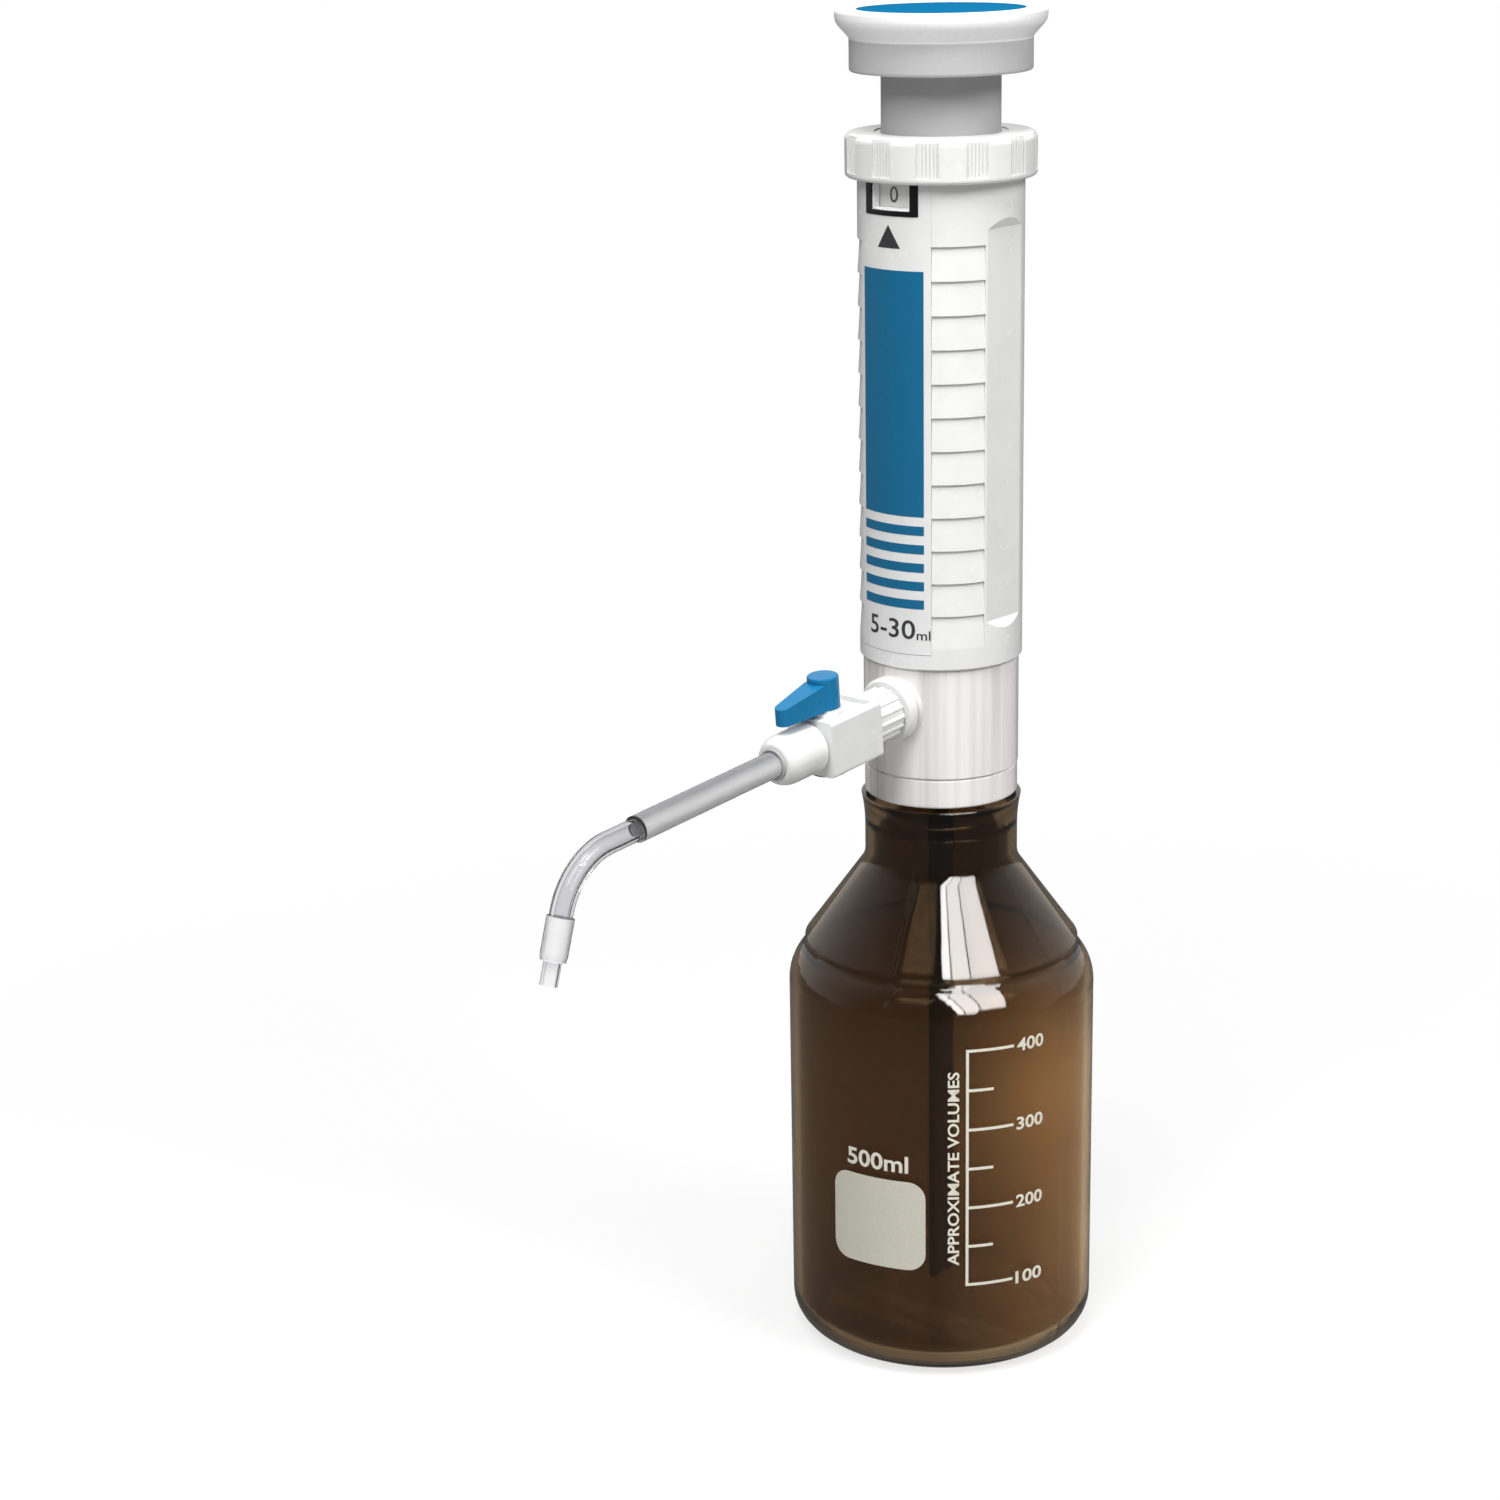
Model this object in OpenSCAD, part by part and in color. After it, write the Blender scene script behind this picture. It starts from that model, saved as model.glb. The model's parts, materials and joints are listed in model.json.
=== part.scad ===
// Bottle top dispenser on its reservoir bottle.
// Millimetres. Bottle and dispenser share the Z axis, the bottle stands on z = 0,
// and the discharge line points to the front, along -Y.
// The plunger is shown part way up, with the stopcock open.

/* [Bottle] */
// Outer radius of the bottle's body
bottle_r = 43; // [38:0.5:50]
// Thickness of the glass wall
glass_wall = 2.4; // [1.8:0.1:3.2]
// Thickness of the glass base
base_t = 3.6; // [2.6:0.1:5]
// Radius of the corner round the base
base_corner_r = 9; // [6:0.5:12]
// Height of the straight body, up to the shoulder
body_h = 104.4; // [80:0.2:130]
// Radius of the rounded shoulder in side view
shoulder_r = 14; // [10:0.5:18]
// Angle through which the shoulder turns before the step
shoulder_turn = 48; // [40:1:55]
// Depth of the fine step between shoulder and cone
step_d = 0.5; // [0.2:0.1:1]
// Height of the fine step
step_h = 2.6; // [1.6:0.1:4]
// Angle of the cone from the vertical
cone_angle = 36; // [30:1:42]
// Outer radius of the neck
neck_r = 21.2; // [20:0.1:22.4]
// Radius of the hollow between cone and neck
neck_fillet_r = 7; // [4:0.5:10]
// Height of the straight neck
neck_h = 7.2; // [5:0.1:12]
// Height of the flared bead above the neck
bead_h = 9.1; // [7:0.1:12]
// How far the bead flares out from the neck
bead_out = 1; // [0.4:0.1:2]
// Radius of the finish that the collar screws on, without its thread
finish_r = 17.5; // [16.5:0.1:18.5]
// Height of the screw thread above the finish
thread_h = 1.2; // [0.8:0.1:1.4]
// Height of the finish above the bead
finish_h = 16.4; // [14:0.1:20]
// Radius of the bottle's mouth
mouth_r = 14; // [12:0.1:15]
// Width of the chamfers at the rim of the mouth
rim_chamfer = 0.6; // [0.3:0.1:1]

/* [Collar and valve block] */
// Wall of the collar's hub, over the thread
hub_wall = 0.7; // [0.5:0.05:1.2]
// How far the collar sits back from the cover's face
collar_step = 0.2; // [0.1:0.05:0.6]
// Height of the collar below the cover
collar_h = 8.1; // [6:0.1:10]
// Gap between the bottle's bead and the collar
collar_gap = 1; // [0.5:0.1:1.5]
// Thickness of the seal on the bottle's rim
gasket_t = 1.2; // [0.8:0.1:2]
// Thickness of the foot flange that the collar holds
foot_t = 2; // [1.4:0.1:3]
// Thickness of the collar's top web
web_t = 2; // [1.4:0.1:3]
// Radius of the valve block's neck through the web
core_neck_r = 13; // [11:0.1:14]
// Height of the valve block above the web
core_h = 18; // [17:0.1:22]
// Wall of the cover round the valve block
cover_wall = 1.4; // [1.2:0.1:2]
// Height of the spigot that carries the barrel
spigot_h = 6.5; // [4:0.1:9]
// Outer diameter of the dip tube
dip_d = 7; // [6:0.1:8]
// Wall of the dip tube
dip_wall = 1.2; // [0.8:0.1:1.6]
// Distance from the bottle's floor to the dip tube
dip_clear = 8.4; // [4:0.1:20]
// How far the dip tube reaches up into the valve block
dip_seat = 1.6; // [1:0.1:2]
// Radius of the inlet ball
inlet_ball_r = 3.2; // [2.8:0.1:3.5]
// Lift of the inlet ball
inlet_lift = 1.5; // [1:0.1:1.8]

/* [Barrel] */
// Outer radius of the barrel
barrel_r = 22.2; // [20:0.1:25]
// Wall of the barrel
barrel_wall = 2.3; // [2:0.1:2.6]
// Height of the barrel below the volume ring
barrel_h = 129.5; // [120:0.5:150]
// Number of grip steps down each side
grip_n = 12; // [6:1:12]
// Height of one grip step
grip_pitch = 8.95; // [7:0.05:9]
// Depth of a grip step
grip_d = 0.6; // [0.3:0.05:1]
// Distance from the ring to the first grip step
grip_drop = 16; // [14:0.1:18]
// Depth of the side flats
flat_d = 1.2; // [0.8:0.1:1.4]
// Distance from the ring to the side flats
flat_drop = 9.6; // [9:0.1:14]
// Distance from the barrel's foot to the side flats
flat_foot = 10.2; // [8:0.1:20]
// Half angle of the front panel
panel_half = 31.4; // [28:0.1:34]
// Thickness of the front panel
panel_t = 0.9; // [0.7:0.05:1]
// Height of the barrel's rim below the front panel
panel_foot = 4.2; // [3:0.1:8]
// Half angle of the window's frame
frame_half = 22.6; // [19:0.1:25]
// Half angle of the window's opening
window_half = 16.6; // [12:0.1:18]
// Distance from the ring to the foot of the window's frame
frame_drop = 8.3; // [7.5:0.1:9]
// Width of the frame's upper and lower bars
frame_bar = 1.2; // [0.8:0.1:1.6]
// How far the frame stands out from the barrel
frame_proud = 0.25; // [0.1:0.05:0.4]

/* [Volume ring] */
// How far the volume ring stands out from the barrel
ring_out = 3.2; // [2.4:0.1:5]
// Height of the volume ring
ring_h = 11.7; // [11:0.1:14]
// Thickness of the ring's top web
ring_web_t = 4.4; // [3:0.1:5]
// Rounding of the ring's top edge
ring_round = 2; // [0.8:0.1:2.4]
// Number of grip pockets round the ring
pocket_n = 12; // [8:1:16]
// Angle across one grip pocket
pocket_angle = 14; // [10:0.5:16]
// Depth of a grip pocket
pocket_d = 0.7; // [0.4:0.1:0.9]
// Number of ridges in a pocket
ridge_n = 5; // [3:1:6]
// Radius of a ridge
ridge_r = 0.42; // [0.3:0.02:0.45]
// Height of the plain lip under the pockets
pocket_lip = 1.6; // [1.2:0.1:2.5]

/* [Dose setting] */
// Largest dose in millilitres
dose_max = 30; // [25:1:30]
// Smallest dose in millilitres
dose_min = 5; // [2:1:10]
// Wall of the number drum
drum_wall = 0.4; // [0.3:0.05:0.6]
// Wall of the setting sleeve
setting_wall = 0.7; // [0.5:0.05:0.9]
// Wall of the stop nut
nut_wall = 0.7; // [0.5:0.05:0.9]
// Height of the stop nut
nut_h = 6; // [4:0.1:8]
// Wall of the guide tube
guide_wall = 0.7; // [0.5:0.05:0.9]
// Width of the guide tube's slots
slot_w = 6; // [4:0.1:8]

/* [Plunger] */
// Wall of the plunger's sleeve
sleeve_wall = 1.3; // [1:0.05:1.5]
// How far the sleeve's stop flange stands out
stop_lip = 0.65; // [0.5:0.05:0.8]
// Gap between the plunger's sleeve and the glass cylinder
cylinder_gap = 0.6; // [0.4:0.05:1.5]
// Wall of the glass cylinder
cylinder_wall = 1.4; // [1.1:0.05:1.6]
// How far the plunger is shown above its lowest place
shown_lift = 14.4; // [0:0.1:25]
// Height of the piston
piston_h = 11.6; // [10:0.1:16]
// Radius of the piston rod
rod_r = 4; // [3.5:0.1:5]
// Radius of the screw that holds the rod
screw_r = 2.4; // [2:0.1:2.6]
// Radius of the head's lower band
head_r = 24.1; // [23:0.1:26]
// Radius of the head's rim
head_rim_r = 27.8; // [26.5:0.1:30]
// Height of the head
head_h = 15.9; // [15:0.1:20]
// Height of the head's lower band
head_band_h = 8.3; // [8:0.1:10]
// Height of the head's rim
head_rim_h = 1.6; // [1:0.1:2.4]
// Radius of the coloured disc in the head
disc_r = 22.1; // [18:0.1:23]
// Height of the disc's dome
disc_dome = 0.6; // [0.2:0.1:1]

/* [Discharge line] */
// Height of the line above the valve block's underside, at the axis
line_rise = 8.2; // [8:0.1:9]
// Fall of the line below the horizontal, in degrees
line_fall = 4.75; // [3:0.25:9]
// Radius of the flange on the outlet
flange_r = 9; // [8:0.1:9.2]
// Thickness of the flange
flange_t = 3.4; // [2:0.1:4]
// Length of the union nut
union_l = 10.9; // [10.5:0.1:14]
// Outer radius of the union nut over its ribs
union_r = 7.2; // [6.3:0.1:7.6]
// Number of ribs round the union nut
union_ribs = 16; // [12:1:20]
// Side of the square stopcock body
stopcock_w = 15.4; // [13:0.1:17]
// Length of the stopcock body
stopcock_l = 20.6; // [18:0.1:26]
// Distance from the front of the stopcock body to its plug
plug_set = 6.7; // [5.6:0.1:9]
// Radius of the stopcock body's long edges
stopcock_edge_r = 1; // [0.5:0.1:2]
// Height of the round boss under the lever
boss_h = 1.1; // [0.8:0.1:3]
// Length of the nose nut
nose_l = 14.6; // [14:0.1:20]
// Radius of the nose nut at the stopcock
nose_r = 6.9; // [6.2:0.1:7.4]
// Radius of the nose nut at its front
nose_front_r = 4.7; // [4.4:0.1:6]
// Outer diameter of the discharge tube
tube_d = 6; // [5.6:0.1:6.6]
// Bore of the discharge tube
tube_bore = 3.8; // [3.5:0.1:4]
// Wall of the clear sleeve behind the bend
sleeve_tube_wall = 0.45; // [0.3:0.05:0.6]
// Length of the clear sleeve in front of the nose nut
sleeve_tube_l = 52.5; // [30:0.5:55]
// Length of bare tube from the sleeve to the bend
bare_l = 10.4; // [6:0.1:25]
// Radius of the bend
bend_r = 19.5; // [14:0.1:25]
// Angle of the bend
bend_angle = 68; // [50:1:84]
// Length of the tube after the bend
tip_l = 11.8; // [11.5:0.1:25]
// Length of the clear sleeve on the tip
tip_sleeve_l = 11; // [8:0.1:11.2]
// Wall of the clear sleeve on the tip
tip_wall = 0.45; // [0.35:0.05:1]
// Outer diameter of the narrow nozzle at the end of the tube
nozzle_d = 4.6; // [4.1:0.1:4.8]
// Length of the nozzle past the sleeve on the tip
nozzle_l = 6.2; // [4:0.1:9]
// Wall of the nozzle
nozzle_wall = 0.6; // [0.4:0.05:0.8]
// Radius of the outlet ball
outlet_ball_r = 2.6; // [2.4:0.1:2.8]
// Lift of the outlet ball
outlet_lift = 1.2; // [0.8:0.1:1.5]
// Length of the outlet spring's space
spring_l = 4.2; // [3.6:0.1:4.6]
// Number of turns of the outlet spring
spring_turns = 4; // [3:1:5]
// Diameter of the outlet spring's wire
wire_d = 0.4; // [0.3:0.05:0.5]

/* [Lever] */
// Radius of the lever's hub
lever_hub_r = 4.25; // [4:0.05:5.5]
// Height of the lever's hub
lever_hub_h = 8.7; // [8:0.1:13]
// Reach of the lever from its hub's axis
lever_reach = 18.6; // [16:0.1:26]
// Height of the lever at its tip
lever_tip_h = 4.6; // [3.5:0.1:7]
// Width of the lever at its tip
lever_tip_w = 4.4; // [4:0.1:8]
// Drop from the hub's top to the arm
lever_drop = 1.6; // [1:0.1:2.5]
// Radius of the stopcock plug
plug_r = 4; // [3.2:0.1:4.4]

/* [Fits] */
// Clearance between pieces that turn or slide past each other
run_gap = 0.3; // [0.2:0.05:0.4]
// Running fit of the piston seal and the plug, on the radius
fit_gap = 0.05; // [0.02:0.01:0.1]
// Clearance of pieces that are fixed in each other, on the radius
set_gap = 0.1; // [0.05:0.01:0.15]
// Clearance between screw threads, on the radius
thread_gap = 0.2; // [0.15:0.01:0.25]
// Open seam between neighbouring shells
seam = 0.15; // [0.1:0.05:0.25]

/* [Hidden] */
$fn = 96;
// Length of a cut that runs right through, and how far a cut runs past a face
far = 60;
over = 1;
// Cubic millimetres in a millilitre
ml = 1000;

// Angle in degrees that a gap takes up at a radius
function gap_angle(gap, r) = gap / r * 180 / PI;

// Heights of the bottle
shoulder_end_r = bottle_r - shoulder_r * (1 - cos(shoulder_turn));
shoulder_end_z = body_h + shoulder_r * sin(shoulder_turn);
cone_z = shoulder_end_z + step_h;
cone_top_r = neck_r + neck_fillet_r * (1 - cos(cone_angle));
cone_top_z = cone_z + (shoulder_end_r - cone_top_r) / tan(cone_angle);
neck_z = cone_top_z + neck_fillet_r * sin(cone_angle);
bead_z = neck_z + neck_h;
finish_z = bead_z + bead_h;
rim_z = finish_z + finish_h;

// Heights of the collar, valve block and cover
collar_z = finish_z + collar_gap;
collar_top_z = collar_z + collar_h;
seat_z = rim_z + gasket_t;
foot_z = seat_z + foot_t;
web_z = foot_z + seam;
web_top_z = web_z + web_t;
core_z = web_top_z + run_gap;
core_top_z = core_z + core_h;
cover_z = collar_top_z + seam;
spigot_z = core_top_z + spigot_h;

// Radii of the collar, valve block and cover, from the bottle's thread outward
thread_bore_r = finish_r + thread_h + thread_gap;
foot_r = thread_bore_r - 2 * run_gap;
hub_r = thread_bore_r + hub_wall;
cover_bore_r = hub_r + run_gap;
cover_r = cover_bore_r + cover_wall;
collar_r = cover_r - collar_step;
core_r = cover_bore_r - set_gap;

// Inlet valve in the valve block
dip_socket_r = dip_d / 2 + fit_gap;
dip_top_z = core_z + dip_seat;
dip_z = base_t + dip_clear;
seat_h = 3;
seat_foot_z = dip_top_z + seam;
seat_top_z = seat_foot_z + seat_h;
seat_bore_r = 2.2;
seat_cone_h = inlet_ball_r - seat_bore_r;
seat_outer_r = 5.6;
chamber_room = 1.2;
chamber_r = inlet_ball_r + chamber_room;
inlet_ball_z = seat_top_z - seat_cone_h - seat_bore_r + inlet_ball_r * sqrt(2) + seam;
cage_t = 1;
cage_lip = 0.8;
cage_z = inlet_ball_z + inlet_ball_r + inlet_lift + run_gap;
cage_hole_r = inlet_ball_r - cage_lip;

// Radii of barrel, dose setting, plunger and glass cylinder, from the outside in
ring_r = barrel_r + ring_out;
ring_skirt_r = barrel_r + frame_proud + run_gap;
panel_r = barrel_r - panel_t;
inlay_r = panel_r + seam / 3;
barrel_bore_r = barrel_r - barrel_wall;
spigot_r = barrel_bore_r - set_gap;
drum_r = barrel_bore_r - run_gap;
drum_bore_r = drum_r - drum_wall;
setting_r = drum_bore_r - fit_gap;
setting_bore_r = setting_r - setting_wall;
nut_r = setting_bore_r - thread_gap;
nut_bore_r = nut_r - nut_wall;
guide_r = nut_bore_r - set_gap;
guide_bore_r = guide_r - guide_wall;
stop_r = guide_bore_r - run_gap;
sleeve_r = stop_r - stop_lip;
sleeve_bore_r = sleeve_r - sleeve_wall;
cylinder_r = sleeve_bore_r - cylinder_gap;
bore_r = cylinder_r - cylinder_wall;
bush_t = 1.8;
bush_r = sleeve_r + bush_t;
bush_bore_r = sleeve_r + run_gap / 2;

// Heights of the glass cylinder, barrel and volume ring
socket_d = 1.6;
socket_z = core_top_z - socket_d;
cylinder_seal_t = 1.2;
cylinder_z = socket_z + cylinder_seal_t;
barrel_z = core_top_z + seam;
ring_z = barrel_z + barrel_h;
ring_top_z = ring_z + ring_h;
ring_web_z = ring_top_z - ring_web_t;
lip_room = 2;
barrel_top_z = ring_web_z - lip_room;
snap_t = 1;
snap_h = 1.8;
snap_d = 0.7;
snap_z = barrel_top_z - snap_t - snap_h;
panel_proud = 0.05;
panel_z = barrel_z + panel_foot;
frame_z = ring_z - frame_drop;
frame_top_z = snap_z - 3 * seam;
window_z = frame_z + frame_bar;
window_top_z = frame_top_z - frame_bar;
lens_t = 0.5;
lens_ledge = 0.6;

// Heights of the plunger, from its lowest place up
stroke = ml * dose_max / (PI * bore_r * bore_r);
floor_gap = 0.8;
rest_gap = 1;
piston_z = cylinder_z + floor_gap + shown_lift;
piston_top_z = piston_z + piston_h;
cylinder_spare = 5;
cylinder_top_z = cylinder_z + floor_gap + stroke + piston_h + cylinder_spare;
piston_r = bore_r - run_gap;
piston_chamfer = 0.7;
seal_h = 4;
seal_d = 1.8;
groove_r = piston_r - seal_d;
groove_z = piston_z + 2.6;
groove_h = seal_h + 2 * set_gap;
rod_z = piston_z + 4;
head_z = ring_top_z + rest_gap + shown_lift;
head_top_z = head_z + head_h;
head_floor_rise = 0.3;
head_floor_z = head_z + head_band_h + head_floor_rise;
disc_t = 1.7;
disc_z = head_top_z - disc_t;
screw_l = 10;
screw_head_r = 4.6;
screw_head_h = 1.8;
screw_bed_z = disc_z - screw_head_h - 2 * set_gap;
drill_spare = 2;

// Heights of the dose setting
nut_z = ring_z - nut_h;
nut_travel = stroke * (dose_max - dose_min) / dose_max;
slot_spare = 2;
slot_z = nut_z - nut_travel - slot_spare;
guide_drop = 1.6;
guide_top_z = barrel_top_z - guide_drop;
setting_z = slot_z - slot_spare;
drum_skirt = 0.6;
drum_z = frame_z - drum_skirt;
stop_h = 3;
stop_top_z = nut_z - run_gap - stroke + shown_lift;
sleeve_z = stop_top_z - stop_h;

// Places along the discharge line, measured from the dispenser's axis
line_z = core_z + line_rise;
flange_stand = 0.3;
flange_z = cover_bore_r + flange_r * sin(line_fall) + flange_stand;
root_end = flange_z - seam / 3;
flange_end = flange_z + flange_t;
shank_r = 5;
shank_z = 9;
union_z = flange_end + seam;
stopcock_z = union_z + union_l;
stopcock_end = stopcock_z + stopcock_l;
nose_z = stopcock_end + 2 * seam;
nose_end = nose_z + nose_l;
tube_r = tube_d / 2;
tube_bore_r = tube_bore / 2;
sleeve_tube_bore_r = tube_r + set_gap;
sleeve_tube_r = sleeve_tube_bore_r + sleeve_tube_wall;
sleeve_tube_end = nose_end + sleeve_tube_l;
bend_z = sleeve_tube_end + bare_l;
tip_bore_r = tube_r + set_gap;
tip_r = tip_bore_r + tip_wall;
tip_over = 0.2;
tip_end = tip_l + tip_over;
nozzle_r = nozzle_d / 2;
nozzle_seat = 4;

// Outlet valve and union
line_bore_r = 2.2;
nut_thread_r = 4.9;
union_bore_r = nut_thread_r + thread_gap;
union_lip_t = 2.4;
tail_r = 3.7;
tail_flange_t = 1.4;
union_seal_t = 1;
tail_z = stopcock_z - union_lip_t - seam - tail_flange_t;
fitting_end = tail_z - union_seal_t;
outlet_lead = 1.5;
outlet_seat_z = shank_z + outlet_lead;
outlet_seat_r = 1.6;
outlet_room = 0.8;
outlet_chamber_r = outlet_ball_r + outlet_room;
outlet_cone_z = outlet_seat_z + outlet_chamber_r - outlet_seat_r;
outlet_ball_z = outlet_seat_z - outlet_seat_r + outlet_ball_r * sqrt(2) + seam;
outlet_spring_z = outlet_ball_z + outlet_ball_r + seam / 2;
outlet_shelf_z = outlet_spring_z + spring_l;

// Stopcock, lever and nose nut
plug_z = stopcock_end - plug_set;
boss_wall = 1.1;
boss_r = plug_r + fit_gap + boss_wall;
boss_top = stopcock_w / 2 + boss_h;
plug_top = boss_top - run_gap;
washer_t = 0.4;
lever_z = boss_top + washer_t + seam;
lever_top = lever_z + lever_hub_h;
plug_stem_r = 2.9;
plug_stem_h = 6;
plug_pin_r = 2.5;
plug_pin_h = 2;
clip_t = 1.2;
clip_r = 4.8;
nose_thread_r = 5;
nose_thread_l = 8;
nose_bore_r = nose_thread_r + thread_gap;
flare_t = 1.2;
flare_z = stopcock_end + nose_thread_l + seam;
nose_step = flare_z + flare_t + seam;

// Points of an arc in the profile plane
function arc(x, z, r, from, to, n = 8) =
  [for (i = [0:n]) let (a = from + (to - from) * i / n) [x + r * cos(a), z + r * sin(a)]];

// Round tube between two heights
module pipe(r_out, r_in, z0, z1) {
  difference() {
    translate([0, 0, z0]) cylinder(r = r_out, h = z1 - z0);
    translate([0, 0, z0 - over]) cylinder(r = r_in, h = z1 - z0 + 2 * over);
  }
}

// Round tube whose outer edges are broken by a small chamfer
module soft_pipe(r_out, r_in, z0, z1, chamfer = 0.4) {
  rotate_extrude()
    polygon([
      [r_in, z0], [r_out - chamfer, z0], [r_out, z0 + chamfer],
      [r_out, z1 - chamfer], [r_out - chamfer, z1], [r_in, z1]
    ]);
}

// Piece of a round shell, centred on a direction counted from the front
module shell_sector(r_in, r_out, z0, z1, half_angle, direction = 0) {
  rotate([0, 0, direction - 90 - half_angle])
    rotate_extrude(angle = 2 * half_angle)
      translate([r_in, z0])
        square([r_out - r_in, z1 - z0]);
}

// Frame of the discharge line: Z runs outward along the line, Y upward
module on_line() {
  translate([0, 0, line_z])
    rotate([90 + line_fall, 0, 0])
      children();
}

// Frame of the stopcock plug: Z runs up along the plug, -Y outward along the line
module on_plug() {
  on_line()
    translate([0, 0, plug_z])
      rotate([-90, 0, 0])
        children();
}

// Frame of the tube's tip: Z runs along the tip from the end of the bend
module on_tip() {
  on_line()
    translate([0, -bend_r, bend_z])
      rotate([90, 0, 90])
        rotate([0, 0, bend_angle])
          translate([bend_r, 0, 0])
            rotate([-90, 0, 0])
              children();
}

// Blown bottle: straight body, rounded shoulder, fine step, cone, neck and threaded finish
module bottle() {
  bead_steps = 6;
  inner_lag = 8;
  inner_cone = glass_wall / cos(cone_angle);
  inner_neck_r = neck_r - glass_wall;
  outside = concat(
    [[0, 0]],
    arc(bottle_r - base_corner_r, base_corner_r, base_corner_r, -90, 0),
    arc(bottle_r - shoulder_r, body_h, shoulder_r, 0, shoulder_turn),
    [[shoulder_end_r - step_d, shoulder_end_z + step_h / 2], [shoulder_end_r, cone_z]],
    arc(neck_r + neck_fillet_r, neck_z, neck_fillet_r, 180 + cone_angle, 180),
    [for (i = [0:bead_steps]) let (u = i / bead_steps) [neck_r + bead_out * u * u, bead_z + bead_h * u]],
    [[finish_r, finish_z], [finish_r, rim_z - rim_chamfer], [finish_r - rim_chamfer, rim_z]]
  );
  inside = concat(
    [[mouth_r + rim_chamfer, rim_z], [mouth_r, rim_z - rim_chamfer],
     [mouth_r, finish_z], [inner_neck_r, bead_z]],
    arc(neck_r + neck_fillet_r, neck_z, neck_fillet_r + glass_wall, 180, 180 + cone_angle),
    [[shoulder_end_r - inner_cone, cone_z]],
    arc(bottle_r - shoulder_r, body_h, shoulder_r - glass_wall, shoulder_turn - inner_lag, 0),
    arc(bottle_r - base_corner_r, base_t + base_corner_r - glass_wall,
        base_corner_r - glass_wall, 0, -90),
    [[0, base_t]]
  );
  color("saddlebrown")
    rotate_extrude()
      polygon(concat(outside, inside));
}

// Flat seal on the bottle's rim
module bottle_gasket() {
  color("gainsboro")
    pipe(finish_r, mouth_r + rim_chamfer, rim_z, seat_z);
}

// Collar that screws on the bottle, with a hub and web that hold the valve block's foot
module screw_collar() {
  round_r = 0.6;
  web_bore_r = core_neck_r + run_gap;
  color("white")
    rotate_extrude()
      polygon(concat(
        [[thread_bore_r, collar_z]],
        arc(collar_r - round_r, collar_z + round_r, round_r, -90, 0, 4),
        arc(collar_r - round_r, collar_top_z - round_r, round_r, 0, 90, 4),
        [[hub_r, collar_top_z], [hub_r, web_top_z], [web_bore_r, web_top_z],
         [web_bore_r, web_z], [thread_bore_r, web_z]]
      ));
}

// Block with foot, neck, inlet and outlet passages, cylinder socket and barrel spigot
module valve_block() {
  color("whitesmoke")
    difference() {
      union() {
        translate([0, 0, seat_z]) cylinder(r = foot_r, h = foot_t);
        translate([0, 0, seat_z]) cylinder(r = core_neck_r, h = core_z - seat_z + over);
        translate([0, 0, core_z]) cylinder(r = core_r, h = core_h);
        translate([0, 0, core_top_z]) cylinder(r = spigot_r, h = spigot_h);
      }
      translate([0, 0, socket_z]) cylinder(r = cylinder_r + set_gap, h = far);
      translate([0, 0, seat_z - over]) cylinder(r = dip_socket_r, h = dip_top_z - seat_z + 2 * over);
      translate([0, 0, seat_foot_z]) cylinder(r = seat_outer_r + fit_gap, h = seat_h + seam);
      translate([0, 0, seat_top_z]) cylinder(r = chamber_r, h = far);
      on_line() cylinder(r = line_bore_r, h = shank_z + over);
      on_line() translate([0, 0, shank_z]) cylinder(r = shank_r + fit_gap, h = far);
    }
}

// Smooth cover round the valve block, with the root that the outlet flange meets
module valve_cover() {
  root_z = core_r / 2;
  color("white")
    difference() {
      union() {
        soft_pipe(cover_r, cover_bore_r, cover_z, core_top_z);
        on_line() translate([0, 0, root_z]) cylinder(r = flange_r, h = root_end - root_z);
      }
      translate([0, 0, cover_z - over]) cylinder(r = cover_bore_r, h = core_top_z - cover_z + 2 * over);
      on_line() translate([0, 0, root_end]) cylinder(r = flange_r + set_gap, h = far);
      on_line() cylinder(r = shank_r + run_gap, h = far);
    }
}

// Ring under the inlet ball, with a cone that the ball closes
module inlet_valve_seat() {
  color("silver")
    rotate_extrude()
      polygon([
        [seat_bore_r, seat_foot_z], [seat_outer_r, seat_foot_z], [seat_outer_r, seat_top_z],
        [inlet_ball_r, seat_top_z], [seat_bore_r, seat_top_z - seat_cone_h]
      ]);
}

// Ball that lets liquid up from the bottle
module inlet_ball() {
  color("linen")
    translate([0, 0, inlet_ball_z])
      sphere(r = inlet_ball_r);
}

// Ring that keeps the inlet ball in its chamber
module inlet_cage() {
  color("silver")
    pipe(chamber_r - fit_gap, cage_hole_r, cage_z, cage_z + cage_t);
}

// Tube from the valve block down to the bottle's floor, cut slantwise at its foot
module dip_tube() {
  color("ivory")
    difference() {
      pipe(dip_d / 2, dip_d / 2 - dip_wall, dip_z, dip_top_z);
      translate([0, -far / 2, dip_z])
        rotate([0, -45, 0])
          translate([0, 0, -dip_d])
            cube([far, far, dip_d]);
    }
}

// Glass measuring cylinder
module glass_cylinder() {
  color("lightcyan")
    pipe(cylinder_r, bore_r, cylinder_z, cylinder_top_z);
}

// Flat seal under the glass cylinder
module cylinder_seal() {
  color("dimgray")
    pipe(cylinder_r, bore_r, socket_z, cylinder_z);
}

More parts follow.
